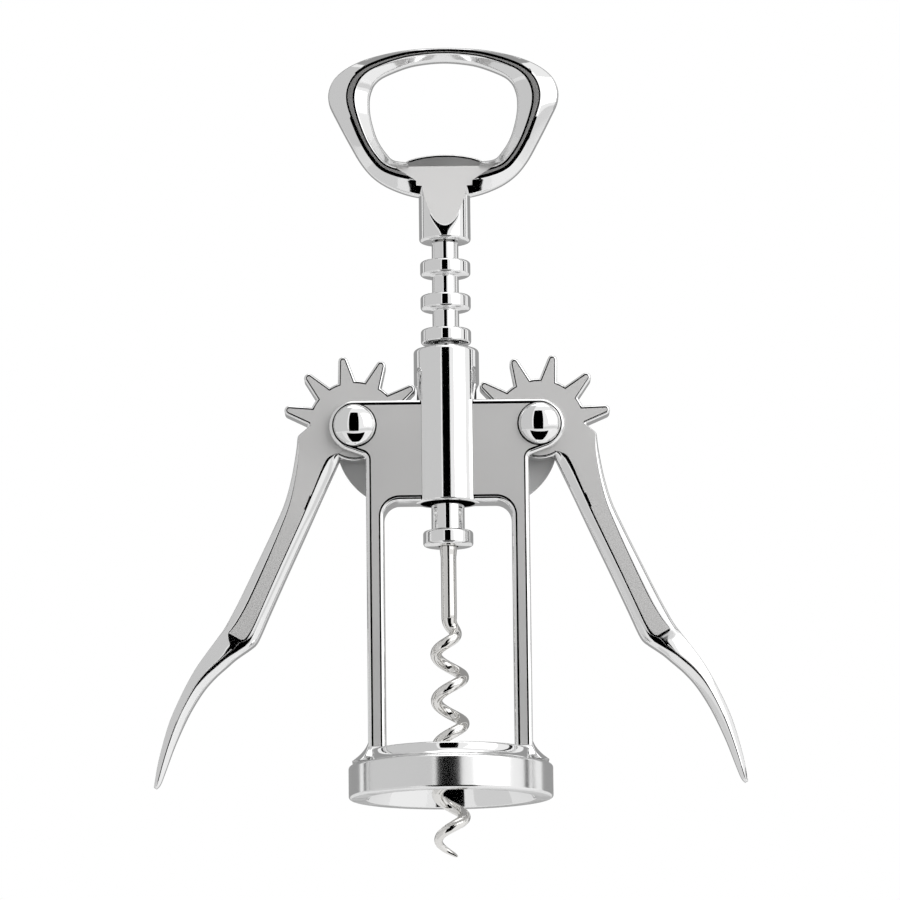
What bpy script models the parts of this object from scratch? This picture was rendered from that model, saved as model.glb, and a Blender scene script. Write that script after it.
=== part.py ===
"""Winged corkscrew with a cap-lifter handle.

Metres, +Z up along the spindle. The origin is the middle of the bell's mouth, where the neck of a
bottle enters. The tool faces -Y. Its levers hang at their rest spread, the left one on -X.
"""

import math

import bmesh
import bpy
from mathutils import Matrix, Vector

# Clearances shared by all pieces
GAP = 0.0003  # left between two pieces that touch on the real tool
RUNNING_GAP = 0.00045  # round the rings inside the barrel
MERGE_DISTANCE = 0.00001
CUT_OVERRUN = 0.002

# Ringed rack: a turned sleeve whose rings the lever teeth grip at any turn of the handle
RACK_PITCH = 0.00766
RING_DIAMETER = 0.0111
RING_THICKNESS = 0.0033
RING_EDGE = 0.0008
NECK_DIAMETER = 0.0059
NECK_FILLET = 0.0004
SKIRT_DIAMETER = 0.0073
RING_COUNT = 7
RINGS_ABOVE_MESH = 5
MESH_RISE = 0.00116  # from the pivots up to the gap that the levers' teeth lie in
TOP_NECK_LENGTH = 0.0044

# Lever gear heads
TEETH_IN_FULL_GEAR = 11
TEETH_BEFORE_MESH = 1
TEETH_AFTER_MESH = 5
TOOTH_ADDENDUM = 0.00249
TOOTH_DEDENDUM = 0.00301
TOOTH_BASE_WIDTH = 0.0039
TOOTH_PLAY = 0.00226
TOOTH_TIP_TO_AXIS = 0.0044
LEFT_TOOTH_RISE_DEG = 1.2  # of the tooth in the rack, above the line between the pivots
RIGHT_TOOTH_RISE_DEG = 3.6
HEAD_THICKNESS = 0.0054
HEAD_EDGE = 0.0004
HUB_RADIUS = 0.0072

# Lever arms, measured from the pivot along the line to the tip, and across it
LEVER_REACH = 0.0904
LEVER_SPREAD_DEG = 29.15
ARM_WIDTH = 0.0080
ARM_DEPTH = 0.0036
ARM_BACK_CHAMFER = 0.0010

# Pivot rivets
PIVOT_HEIGHT = 0.0819
RIVET_SHANK_DIAMETER = 0.0050
RIVET_DOME_DIAMETER = 0.0092
RIVET_DOME_HEIGHT = 0.0027
RIVET_DOME_RIM = 0.0005
RIVET_BACK_DIAMETER = 0.0078
RIVET_BACK_HEIGHT = 0.0011
COUNTERBORE_DEPTH = 0.0004

# Frame casting: barrel
BARREL_WALL = 0.0012
BARREL_ABOVE_PIVOT = 0.0175
BARREL_BELOW_PIVOT = 0.0169
BARREL_SHOULDER = 0.0010
BARREL_FOOT_EDGE = 0.0005

# Frame casting: cheek plates and legs
PLATE_THICKNESS = 0.0020
PLATE_EDGE = 0.0006
EAR_RADIUS = 0.0056
PLATE_BELOW_PIVOT = 0.0168
WINDOW_CORNER = 0.0035
STEP_CORNER = 0.0012
LEG_SET_IN = 0.0045  # from the bell's outside to a leg's
LEG_WIDTH = 0.0038
LEG_CHAMFER = 0.0014
BACK_EAR_RADIUS = 0.0150
BACK_EAR_CENTRE = 0.0095
BACK_EAR_DROP = 0.0021
BACK_PLATE_CORNER = 0.0022
SLOT_PLAY = 0.0005

# Frame casting: bell
BELL_DIAMETER = 0.0446
BAND_HEIGHT = 0.0072
BAND_EDGE = 0.0007
MOUTH_share = 0.47  # of the wall's thickness at the lip recess, taken up by the mouth's flare
MOUTH_EDGE = 0.0003
LIP_RECESS_DIAMETER = 0.0298
LIP_LEDGE_HEIGHT = 0.0070
CONE_HEIGHT = 0.0056
BELL_HOLE_DIAMETER = 0.0270
COLLAR_HEIGHT = 0.0105
COLLAR_WALL = 0.0008
COLLAR_EDGE = 0.0003
SHOULDER_HEIGHT = 0.0086
SHOULDER_SET_IN = 0.0047  # from the bell's outside to the shoulder's
SHOULDER_FLARE = 0.0026
LEG_ROOT_DEPTH = 0.0013

# Worm and the rod that carries it
SHANK_DIAMETER = 0.0038
ROD_DIAMETER = 0.0034
ROD_TAPER_LENGTH = 0.0024
WORM_WIRE_DIAMETER = 0.0025
WORM_RADIUS = 0.00295
WORM_PITCH = 0.0102
WORM_TIP_DEPTH = 0.0124
WORM_BELOW_STOP = 0.0232  # from the stop collar to the first full turn
ROD_BELOW_STOP = 0.0152
WORM_RIGHT_TURN_HEIGHT = 0.0062
WORM_POINT_LENGTH = 0.0070
WORM_POINT_DIAMETER = 0.0004
POINT_SWING_share = 0.94
THINNING_share = 1.6

# Stop collar below the barrel
STOP_DIAMETER = 0.0110
STOP_BELOW_BARREL = 0.0061
STOP_HEIGHT = 0.0034
STOP_EDGE = 0.0007

# Handle
BOSS_DIAMETER = 0.0114
BOSS_EDGE = 0.0007
SOCKET_DEPTH = 0.0085
LOOP_RISE = 0.0100  # of the loop's lowest point above the boss's foot, as the next two rises
LOOP_HEIGHT = 0.0340
LOOP_WIDTH = 0.0512
LOOP_THICKNESS = 0.0070
WINDOW_RISE = 0.0181
WINDOW_HEIGHT = 0.0228
WINDOW_WIDTH = 0.0328
FACET_RISE = 0.0029
FACET_TILT_DEG = 13.5
FACET_CUT_DEPTH = 0.0060
LIFTER_WIDTH = 0.0170
LIFTER_RISE = 0.0016
LIFTER_THICKNESS = 0.0024
LIFTER_ROOT = 0.0030

# Facets of round pieces
BELL_SEGMENTS = 48
ROUND_SEGMENTS = 28
RIVET_SEGMENTS = 24
WORM_POINTS_PER_TURN = 14
LOOP_STATIONS = 44

# Arm stations, root to tip: reach, then inner and outer edge as shares of the arm's width, then the
# height of the front, the sunk depth of its floor, the height of the back and the ridge, as shares of
# the arm's depth. A ridge share of 0 is a sunk floor between two rims, and of 1 is a single crest.
ARM_STATION_shares = (
    (0.046, -0.04, 1.18, 0.74, 0.00, 0.74, 0.0),
    (0.070, -0.05, 1.20, 0.74, 0.00, 0.74, 0.0),
    (0.085, -0.06, 1.25, 0.74, 0.00, 0.74, 0.0),
    (0.100, -0.08, 1.18, 0.74, 0.00, 0.74, 0.0),
    (0.130, -0.10, 1.05, 0.76, 0.03, 0.75, 0.0),
    (0.188, -0.15, 0.83, 0.84, 0.14, 0.75, 0.0),
    (0.249, -0.21, 0.67, 0.90, 0.22, 0.75, 0.0),
    (0.313, -0.27, 0.60, 0.95, 0.28, 0.75, 0.0),
    (0.394, -0.34, 0.54, 0.98, 0.32, 0.75, 0.0),
    (0.497, -0.44, 0.47, 1.00, 0.34, 0.75, 0.0),
    (0.553, -0.50, 0.45, 1.00, 0.34, 0.75, 0.0),
    (0.586, -0.46, 0.45, 1.00, 0.30, 0.75, 0.1),
    (0.619, -0.29, 0.50, 0.99, 0.12, 0.74, 0.5),
    (0.656, -0.12, 0.56, 0.96, 0.00, 0.72, 0.8),
    (0.697, 0.04, 0.61, 0.92, 0.00, 0.70, 1.0),
    (0.741, 0.14, 0.62, 0.86, 0.00, 0.66, 1.0),
    (0.796, 0.17, 0.59, 0.77, 0.00, 0.60, 1.0),
    (0.846, 0.14, 0.53, 0.68, 0.00, 0.54, 1.0),
    (0.896, 0.08, 0.41, 0.58, 0.00, 0.46, 1.0),
    (0.946, -0.01, 0.26, 0.46, 0.00, 0.38, 1.0),
    (0.985, -0.07, 0.11, 0.36, 0.00, 0.30, 1.0),
    (1.000, -0.04, 0.05, 0.22, 0.00, 0.18, 1.0),
)
# Across an arm from its inner edge: where the side wall, rims, floor edges and crest lie
RIM_shares = (0.00, 0.10, 0.30, 0.56, 0.76, 0.92, 1.00)
ARM_SIDE_share = 0.55

# Half outlines of the handle's loop and of its window, from the top middle to the bottom, as shares
# of the loop's or the window's half width and height
LOOP_OUTLINE_shares = (
    (0.00, 1.000),
    (0.22, 0.994),
    (0.43, 0.974),
    (0.66, 0.931),
    (0.83, 0.873),
    (0.945, 0.800),
    (0.995, 0.715),
    (0.990, 0.630),
    (0.930, 0.530),
    (0.825, 0.375),
    (0.720, 0.235),
    (0.605, 0.135),
    (0.450, 0.062),
    (0.240, 0.010),
    (0.00, 0.000),
)
WINDOW_OUTLINE_shares = (
    (0.00, 1.000),
    (0.27, 0.985),
    (0.50, 0.950),
    (0.79, 0.866),
    (0.91, 0.800),
    (0.965, 0.730),
    (0.997, 0.630),
    (0.990, 0.480),
    (0.945, 0.330),
    (0.885, 0.210),
    (0.790, 0.100),
    (0.680, 0.020),
    (0.480, 0.000),
    (0.240, 0.000),
    (0.00, 0.000),
)
# Half thickness of the loop from its outer edge to the window, as shares of the full half thickness
LOOP_SECTION_shares = ((0.00, 0.40), (0.10, 0.68), (0.36, 0.97), (0.48, 1.00), (0.60, 0.95), (0.90, 0.66), (1.00, 0.46))
# Outline of the flat that is milled across the loop's foot and the boss, as shares of the loop's half
# width and of the height from the facet's start to the window
FACET_OUTLINE_shares = ((0.56, 1.03), (0.50, 0.93), (0.36, 0.76), (0.235, 0.58), (0.235, -0.30))

# Heights and radii that follow from the sizes above
PITCH_RADIUS = RACK_PITCH * TEETH_IN_FULL_GEAR / math.tau
TIP_RADIUS = PITCH_RADIUS + TOOTH_ADDENDUM
ROOT_RADIUS = PITCH_RADIUS - TOOTH_DEDENDUM
TOOTH_TIP_WIDTH = RACK_PITCH - RING_THICKNESS - TOOTH_PLAY
TOOTH_ANGLE_DEG = 360.0 / TEETH_IN_FULL_GEAR
PIVOT_X = TIP_RADIUS + TOOTH_TIP_TO_AXIS
MESH_HEIGHT = PIVOT_HEIGHT + MESH_RISE
TOP_RING_HEIGHT = MESH_HEIGHT + RACK_PITCH * (RINGS_ABOVE_MESH - 0.5) + RING_THICKNESS / 2
BORE_RADIUS = RING_DIAMETER / 2 + RUNNING_GAP
BARREL_RADIUS = BORE_RADIUS + BARREL_WALL
BARREL_TOP = PIVOT_HEIGHT + BARREL_ABOVE_PIVOT
BARREL_BOTTOM = PIVOT_HEIGHT - BARREL_BELOW_PIVOT
SLOT_THICKNESS = HEAD_THICKNESS + 2 * GAP
FRAME_DEPTH = SLOT_THICKNESS + 2 * PLATE_THICKNESS
PLATE_TOP = PIVOT_HEIGHT + EAR_RADIUS
PLATE_BOTTOM = PIVOT_HEIGHT - PLATE_BELOW_PIVOT
LEG_OUTER = BELL_DIAMETER / 2 - LEG_SET_IN
LEG_INNER = LEG_OUTER - LEG_WIDTH
LEG_ROOT = SHOULDER_HEIGHT - LEG_ROOT_DEPTH
ROD_HOLE_RADIUS = SHANK_DIAMETER / 2 + GAP
STOP_TOP = BARREL_BOTTOM - STOP_BELOW_BARREL
STOP_BOTTOM = STOP_TOP - STOP_HEIGHT
ROD_END = STOP_BOTTOM - ROD_BELOW_STOP
WORM_TOP = STOP_BOTTOM - WORM_BELOW_STOP
BOSS_BOTTOM = TOP_RING_HEIGHT + TOP_NECK_LENGTH
LOOP_BOTTOM = BOSS_BOTTOM + LOOP_RISE
WINDOW_BOTTOM = BOSS_BOTTOM + WINDOW_RISE
FACET_START = BOSS_BOTTOM + FACET_RISE

MATERIALS = {
    "frame_casting": ("chrome plated zinc casting", (0.80, 0.80, 0.80), 0.10),
    "lever_casting": ("chrome plated zinc lever", (0.80, 0.79, 0.79), 0.10),
    "turned_rack": ("chrome plated turned steel", (0.82, 0.82, 0.82), 0.07),
    "rivet": ("chrome plated rivet", (0.82, 0.82, 0.82), 0.06),
    "worm": ("nickel plated steel wire", (0.76, 0.75, 0.73), 0.14),
    "handle_casting": ("chrome plated zinc handle", (0.82, 0.82, 0.82), 0.08),
}


# Scene helpers


def clear_scene():
    for item in list(bpy.data.objects):
        bpy.data.objects.remove(item, do_unlink=True)


def make_collection(name):
    collection = bpy.data.collections.new(name)
    bpy.context.scene.collection.children.link(collection)
    return collection


def make_material(name, colour, roughness):
    material = bpy.data.materials.new(name)
    material.use_nodes = True
    shader = material.node_tree.nodes["Principled BSDF"]
    shader.inputs["Base Color"].default_value = (*colour, 1.0)
    shader.inputs["Metallic"].default_value = 1.0
    shader.inputs["Roughness"].default_value = roughness
    return material


def add_object(name, mesh, collection, location=(0, 0, 0)):
    item = bpy.data.objects.new(name, mesh)
    item.location = location
    collection.objects.link(item)
    return item


def finish_piece(item, kind):
    """Gives a piece its own material and smooth shading up to its real edges."""
    name, colour, roughness = MATERIALS[kind]
    item.data.materials.clear()
    item.data.materials.append(make_material(f"{name} {item.name}", colour, roughness))
    item.data.shade_smooth()
    item.data.set_sharp_from_angle(angle=math.radians(35))
    return item


def boolean(item, operation, cutter):
    modifier = item.modifiers.new(f"{operation.lower()} {cutter.name}", "BOOLEAN")
    modifier.operation = operation
    modifier.solver = "EXACT"
    modifier.object = cutter
    cutter.hide_render = True
    cutter.display_type = "WIRE"


def boolean_group(item, operation, name, members, cutters):
    """Unites with or cuts by several objects in one step, which keeps the mesh cleaner than many."""
    group = bpy.data.collections.new(name)
    cutters.children.link(group)
    for member in members:
        cutters.objects.unlink(member)
        group.objects.link(member)
        member.hide_render = True
        member.display_type = "WIRE"
    modifier = item.modifiers.new(f"{operation.lower()} {name}", "BOOLEAN")
    modifier.operation = operation
    modifier.solver = "EXACT"
    modifier.operand_type = "COLLECTION"
    modifier.collection = group


# Outline helpers: points are (across, up) pairs


def arc(centre, radius, start_deg, end_deg, steps):
    points = []
    for step in range(steps + 1):
        angle = math.radians(start_deg + (end_deg - start_deg) * step / steps)
        points.append((centre[0] + radius * math.cos(angle), centre[1] + radius * math.sin(angle)))
    return points


def fillet(before, corner, after, radius, steps=4):
    """Points of the arc that rounds one corner of an outline."""
    corner = Vector(corner)
    inward = (Vector(before) - corner).normalized()
    outward = (Vector(after) - corner).normalized()
    half_angle = inward.angle(outward) / 2
    run = radius / math.tan(half_angle)
    centre = corner + (inward + outward).normalized() * (radius / math.sin(half_angle))
    first = corner + inward * run - centre
    last = corner + outward * run - centre
    turn = first.angle_signed(last)
    points = []
    for step in range(steps + 1):
        spoke = first.copy()
        spoke.rotate(Matrix.Rotation(-turn * step / steps, 2))
        points.append(tuple(centre + spoke))
    return points


def mirrored(half):
    """A closed outline from its right half, which runs from the top down."""
    left = [(-across, up) for across, up in reversed(half) if across > MERGE_DISTANCE]
    return list(half) + left


def smooth_closed(points, count):
    """Evenly spaced points on a smooth closed curve through the given ones."""
    total = len(points)
    dense = []
    for index in range(total):
        a, b, c, d = (Vector(points[(index + offset) % total]) for offset in (-1, 0, 1, 2))
        for step in range(8):
            t = step / 8
            dense.append(
                0.5 * (2 * b + (c - a) * t + (2 * a - 5 * b + 4 * c - d) * t**2 + (3 * b - 3 * c + d - a) * t**3)
            )
    lengths = [0.0]
    for index in range(len(dense)):
        lengths.append(lengths[-1] + (dense[(index + 1) % len(dense)] - dense[index]).length)
    spaced = []
    index = 0
    for number in range(count):
        target = lengths[-1] * number / count
        while lengths[index + 1] < target:
            index += 1
        share = (target - lengths[index]) / (lengths[index + 1] - lengths[index])
        spaced.append(dense[index].lerp(dense[(index + 1) % len(dense)], share))
    return spaced


# Solid helpers


def turned(name, profile, collection, segments, closed=False, location=(0, 0, 0), forward=False):
    """A turned solid. The (radius, height) profile runs down its outer side.

    forward lays the turning axis along -Y, so that the profile's top faces the front.
    """
    mesh = bpy.data.meshes.new(name)
    edges = [(index, index + 1) for index in range(len(profile) - 1)]
    if closed:
        edges.append((len(profile) - 1, 0))
    mesh.from_pydata([(radius, 0, height) for radius, height in profile], edges, [])
    item = add_object(name, mesh, collection, location)
    if forward:
        item.rotation_euler = (math.radians(90), 0, 0)
    screw = item.modifiers.new("turn", "SCREW")
    screw.steps = screw.render_steps = segments
    screw.use_merge_vertices = True
    screw.merge_threshold = MERGE_DISTANCE
    screw.use_smooth_shade = True
    return item


def outline_solid(name, outline, thickness, edge, collection, location=(0, 0, 0), tilt_deg=90.0):
    """A flat outline with chamfered edges. At 90 degrees it stands upright and faces the front."""
    curve = bpy.data.curves.new(name, "CURVE")
    curve.dimensions = "2D"
    curve.fill_mode = "BOTH"
    curve.extrude = thickness / 2 - edge
    curve.bevel_depth = edge
    curve.bevel_resolution = 0
    curve.offset = -edge
    spline = curve.splines.new("POLY")
    spline.points.add(len(outline) - 1)
    for point, (across, up) in zip(spline.points, outline):
        point.co = (across, up, 0, 1)
    spline.use_cyclic_u = True
    source = bpy.data.objects.new(f"{name} outline", curve)
    collection.objects.link(source)
    item = mesh_from(source, name, collection)
    turn = Matrix.Rotation(math.radians(tilt_deg), 4, "X")
    item.data.transform(turn)
    item.location = location
    return item


def mesh_from(source, name, collection):
    """A closed mesh object in place of a curve object, which is removed."""
    bpy.context.view_layer.update()
    evaluated = source.evaluated_get(bpy.context.evaluated_depsgraph_get())
    mesh = bpy.data.meshes.new_from_object(evaluated)
    mesh.name = name
    shell = bmesh.new()
    shell.from_mesh(mesh)
    bmesh.ops.remove_doubles(shell, verts=shell.verts, dist=MERGE_DISTANCE)
    bmesh.ops.recalc_face_normals(shell, faces=shell.faces)
    shell.to_mesh(mesh)
    shell.free()
    item = bpy.data.objects.new(name, mesh)
    collection.objects.link(item)
    item.matrix_world = source.matrix_world.copy()
    curve = source.data
    bpy.data.objects.remove(source, do_unlink=True)
    bpy.data.curves.remove(curve)
    return item


def loft(name, sections, collection, ring=False, location=(0, 0, 0)):
    """A skin over unlike sections with the same number of points, as an arm or a loop has."""
    shell = bmesh.new()
    rows = [[shell.verts.new(point) for point in section] for section in sections]
    pairs = list(zip(rows, rows[1:]))
    if ring:
        pairs.append((rows[-1], rows[0]))
    for near, far in pairs:
        for index in range(len(near)):
            following = (index + 1) % len(near)
            shell.faces.new((near[index], near[following], far[following], far[index]))
    if not ring:
        shell.faces.new(rows[0])
        shell.faces.new(rows[-1])
    bmesh.ops.recalc_face_normals(shell, faces=shell.faces)
    bmesh.ops.triangulate(shell, faces=shell.faces)
    mesh = bpy.data.meshes.new(name)
    shell.to_mesh(mesh)
    shell.free()
    return add_object(name, mesh, collection, location)


# Frame casting


def bell_profile():
    outer = BELL_DIAMETER / 2
    shoulder = outer - SHOULDER_SET_IN
    recess = LIP_RECESS_DIAMETER / 2
    mouth = recess + (outer - recess) * MOUTH_share
    hole = BELL_HOLE_DIAMETER / 2
    flare_rise = SHOULDER_HEIGHT - BAND_HEIGHT
    profile = [(hole + COLLAR_EDGE, COLLAR_HEIGHT), (hole + COLLAR_WALL, COLLAR_HEIGHT)]
    for step in range(5):
        angle = math.radians(90) * step / 4
        across = shoulder + SHOULDER_FLARE * (1 - math.cos(angle))
        up = BAND_HEIGHT + flare_rise * (1 - math.sin(angle))
        profile.append((across, up))
    profile += [
        (outer - BAND_EDGE, BAND_HEIGHT - BAND_EDGE / 4),
        (outer, BAND_HEIGHT - BAND_EDGE),
        (outer, BAND_EDGE),
        (outer - BAND_EDGE / 4, BAND_EDGE / 4),
        (outer - BAND_EDGE, 0),
        (mouth + MOUTH_EDGE, 0),
        (mouth, MOUTH_EDGE),
        (recess, CONE_HEIGHT),
        (recess, LIP_LEDGE_HEIGHT),
        (hole, LIP_LEDGE_HEIGHT),
        (hole, COLLAR_HEIGHT - COLLAR_EDGE),
    ]
    return profile


def leg_down_and_up():
    """The half outline of one leg, down its outer side, up its inner side and round the cage corner."""
    foot = [(LEG_OUTER, LEG_ROOT), (LEG_INNER, LEG_ROOT)]
    return foot + fillet(foot[1], (LEG_INNER, PLATE_BOTTOM), (0, PLATE_BOTTOM), WINDOW_CORNER, 6)


def front_outline():
    ear = arc((PIVOT_X, PIVOT_HEIGHT), EAR_RADIUS, 90, -70, 14)
    under_ear = Vector(ear[-1])
    slope = Vector((math.sin(math.radians(-70)), -math.cos(math.radians(-70))))
    step = under_ear + slope * ((under_ear.x - LEG_OUTER) / -slope.x)
    step_corner = fillet(ear[-1], tuple(step), (LEG_OUTER, LEG_ROOT), STEP_CORNER)
    return mirrored(ear + step_corner + leg_down_and_up())


def back_outline():
    centre = (BACK_EAR_CENTRE, PIVOT_HEIGHT - BACK_EAR_DROP)
    rise = PLATE_TOP - BACK_PLATE_CORNER - centre[1]
    start = math.degrees(math.asin(rise / BACK_EAR_RADIUS))
    end = -math.degrees(math.acos((LEG_OUTER - centre[0]) / BACK_EAR_RADIUS))
    ear = arc(centre, BACK_EAR_RADIUS, start, end, 14)
    top_corner = fillet((0, PLATE_TOP), (ear[0][0], PLATE_TOP), ear[0], BACK_PLATE_CORNER * 0.7)
    return mirrored(top_corner + ear + leg_down_and_up())


def leg_chamfer(name, side, cutters):
    """A three-sided bar that planes the outer front edge off one leg, between bell and cheek plate."""
    front = FRAME_DEPTH / 2
    near = (LEG_OUTER - LEG_CHAMFER - CUT_OVERRUN, -front - CUT_OVERRUN)
    far = (LEG_OUTER + CUT_OVERRUN, -front + LEG_CHAMFER + CUT_OVERRUN)
    section = [(side * across, depth) for across, depth in (near, far, (far[0], near[1]))]
    bottom = COLLAR_HEIGHT + STEP_CORNER
    top = PIVOT_HEIGHT - EAR_RADIUS - BACK_PLATE_CORNER
    middle = (0, 0, (bottom + top) / 2)
    return outline_solid(name, section, top - bottom, 0, cutters, middle, tilt_deg=0)


def build_frame(parts, cutters):
    frame = turned("frame_casting", bell_profile(), parts, BELL_SEGMENTS, closed=True)
    layer = FRAME_DEPTH / 2 + 2 * PLATE_EDGE
    middle = (FRAME_DEPTH - layer) / 2
    front = outline_solid("front_layer", front_outline(), layer, PLATE_EDGE, cutters, (0, -middle, 0))
    back = outline_solid("back_layer", back_outline(), layer, PLATE_EDGE, cutters, (0, middle, 0))
    barrel_profile = [
        (0, BARREL_TOP),
        (BARREL_RADIUS - BARREL_SHOULDER, BARREL_TOP),
        (BARREL_RADIUS - BARREL_SHOULDER / 4, BARREL_TOP - BARREL_SHOULDER / 4),
        (BARREL_RADIUS, BARREL_TOP - BARREL_SHOULDER),
        (BARREL_RADIUS, BARREL_BOTTOM + BARREL_FOOT_EDGE),
        (BARREL_RADIUS - BARREL_FOOT_EDGE, BARREL_BOTTOM),
        (0, BARREL_BOTTOM),
    ]
    barrel = turned("barrel", barrel_profile, cutters, ROUND_SEGMENTS)
    boolean_group(frame, "UNION", "frame_bodies", [front, back, barrel], cutters)
    bore_profile = [
        (0, BARREL_TOP + CUT_OVERRUN),
        (BORE_RADIUS, BARREL_TOP + CUT_OVERRUN),
        (BORE_RADIUS, BARREL_BOTTOM - CUT_OVERRUN),
        (0, BARREL_BOTTOM - CUT_OVERRUN),
    ]
    cuts = [turned("barrel_bore", bore_profile, cutters, ROUND_SEGMENTS)]
    slot_radius = TIP_RADIUS + SLOT_PLAY
    slot_profile = [
        (0, SLOT_THICKNESS / 2),
        (slot_radius, SLOT_THICKNESS / 2),
        (slot_radius, -SLOT_THICKNESS / 2),
        (0, -SLOT_THICKNESS / 2),
    ]
    half_depth = FRAME_DEPTH / 2
    shank_hole = RIVET_SHANK_DIAMETER / 2 + GAP
    dome_hole = RIVET_DOME_DIAMETER / 2 + GAP
    rivet_profile = [
        (0, half_depth + CUT_OVERRUN),
        (dome_hole, half_depth + CUT_OVERRUN),
        (dome_hole, half_depth - COUNTERBORE_DEPTH),
        (shank_hole, half_depth - COUNTERBORE_DEPTH),
        (shank_hole, -half_depth - CUT_OVERRUN),
        (0, -half_depth - CUT_OVERRUN),
    ]
    for word, side in (("left", -1), ("right", 1)):
        pivot = (side * PIVOT_X, 0, PIVOT_HEIGHT)
        cuts.append(turned(f"{word}_slot", slot_profile, cutters, BELL_SEGMENTS, location=pivot, forward=True))
        hole_name = f"{word}_rivet_hole"
        cuts.append(turned(hole_name, rivet_profile, cutters, RIVET_SEGMENTS, location=pivot, forward=True))
        cuts.append(leg_chamfer(f"{word}_leg_chamfer", side, cutters))
    boolean_group(frame, "DIFFERENCE", "frame_cuts", cuts, cutters)
    return finish_piece(frame, "frame_casting")


# Rivets


def build_rivet(name, side, parts):
    """A rivet through both cheek plates, domed in front and peened low at the back."""
    seat = FRAME_DEPTH / 2 - COUNTERBORE_DEPTH + GAP
    back = -FRAME_DEPTH / 2 - GAP
    dome = RIVET_DOME_DIAMETER / 2
    bulge = RIVET_DOME_HEIGHT - RIVET_DOME_RIM
    profile = []
    for step in range(7):
        angle = math.radians(90) * step / 6
        profile.append((dome * math.sin(angle), seat + RIVET_DOME_RIM + bulge * math.cos(angle)))
    rear = RIVET_BACK_DIAMETER / 2
    shank = RIVET_SHANK_DIAMETER / 2
    profile += [
        (dome, seat),
        (shank, seat),
        (shank, back),
        (rear, back),
        (rear, back - RIVET_BACK_HEIGHT / 3),
        (rear * 0.75, back - RIVET_BACK_HEIGHT * 0.85),
        (0, back - RIVET_BACK_HEIGHT),
    ]
    location = (side * PIVOT_X, 0, PIVOT_HEIGHT)
    rivet = turned(name, profile, parts, RIVET_SEGMENTS, location=location, forward=True)
    return finish_piece(rivet, "rivet")


# Levers


def tooth_points(angle_deg):
    """One tooth, from its clockwise root to its other root, with a round tip."""
    angle = math.radians(angle_deg)
    out = Vector((math.cos(angle), math.sin(angle)))
    across = Vector((-math.sin(angle), math.cos(angle)))
    half_base = TOOTH_BASE_WIDTH / 2
    half_tip = TOOTH_TIP_WIDTH / 2
    root = math.sqrt(ROOT_RADIUS**2 - half_base**2)
    points = [out * root - across * half_base]
    for step in range(6):
        turn = math.radians(-80 + 160 * step / 5)
        reach = TIP_RADIUS - half_tip + half_tip * math.cos(turn)
        points.append(out * reach + across * half_tip * math.sin(turn))
    points.append(out * root + across * half_base)
    return [tuple(point) for point in points]


def arm_frame():
    """Unit vectors along the lever and across it to its outer side, for the right lever."""
    spread = math.radians(LEVER_SPREAD_DEG)
    along = Vector((math.sin(spread), -math.cos(spread)))
    outward = Vector((math.cos(spread), math.sin(spread)))
    return along, outward


def head_outline(tooth_rise_deg):
    """The gear head of the right lever: teeth from the outer side over the top to the rack."""
    points = []
    first = 180 - tooth_rise_deg - TEETH_AFTER_MESH * TOOTH_ANGLE_DEG
    for number in range(TEETH_AFTER_MESH + TEETH_BEFORE_MESH + 1):
        angle = first + number * TOOTH_ANGLE_DEG
        points += tooth_points(angle)
    last = angle + TOOTH_ANGLE_DEG / 2
    points += arc((0, 0), ROOT_RADIUS, last, last + 10, 2)
    points += arc((0, 0), HUB_RADIUS, last + 24, 285, 4)
    points += arc((0, 0), ROOT_RADIUS, 302, 360 + first - TOOTH_ANGLE_DEG / 2, 5)
    return points


def arm_section(row):
    reach, inner, outer, front, sunk, back, ridge = row
    along, outward = arm_frame()
    left = inner * ARM_WIDTH
    width = (outer - inner) * ARM_WIDTH
    crest = front * ARM_DEPTH
    floor = crest - sunk * ARM_DEPTH
    side = crest * ARM_SIDE_share
    # Heights across the front with rims and a floor, and with one crest, blended by the ridge share
    rimmed = (side, crest, floor, floor, floor, crest, side)
    middle = RIM_shares[3]
    crested = []
    for share in RIM_shares:
        fall = abs(share - middle) / (middle if share < middle else 1 - middle)
        crested.append(crest - (crest - side) * fall)
    chamfer = min(ARM_BACK_CHAMFER, width / 4)
    rear = back * ARM_DEPTH
    flat = []
    for share, low, high in zip(RIM_shares, rimmed, crested):
        flat.append((left + share * width, -(low + (high - low) * ridge)))
    flat += [
        (left + width, rear - chamfer),
        (left + width - chamfer, rear),
        (left + chamfer, rear),
        (left, rear - chamfer),
    ]
    section = []
    for across, depth in flat:
        point = along * (reach * LEVER_REACH) + outward * across
        section.append((point.x, depth, point.y))
    return section


def build_lever(name, side, tooth_rise_deg, parts, cutters):
    """A lever with its gear head. side is 1 for the right lever and -1 for its mirror image."""
    pivot = (side * PIVOT_X, 0, PIVOT_HEIGHT)
    outline = [(side * across, up) for across, up in head_outline(tooth_rise_deg)]
    head = outline_solid(name, outline, HEAD_THICKNESS, HEAD_EDGE, parts, pivot)
    sections = [[(side * x, y, z) for x, y, z in arm_section(row)] for row in ARM_STATION_shares]
    arm = loft(f"{name}_arm", sections, cutters, location=pivot)
    hole = RIVET_SHANK_DIAMETER / 2 + GAP
    hole_profile = [
        (0, HEAD_THICKNESS),
        (hole, HEAD_THICKNESS),
        (hole, -HEAD_THICKNESS),
        (0, -HEAD_THICKNESS),
    ]
    boolean(head, "UNION", arm)
    cutter = turned(f"{name}_hole", hole_profile, cutters, RIVET_SEGMENTS, location=pivot, forward=True)
    boolean(head, "DIFFERENCE", cutter)
    return finish_piece(head, "lever_casting")


# Spindle: rack sleeve, worm, stop collar


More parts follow.
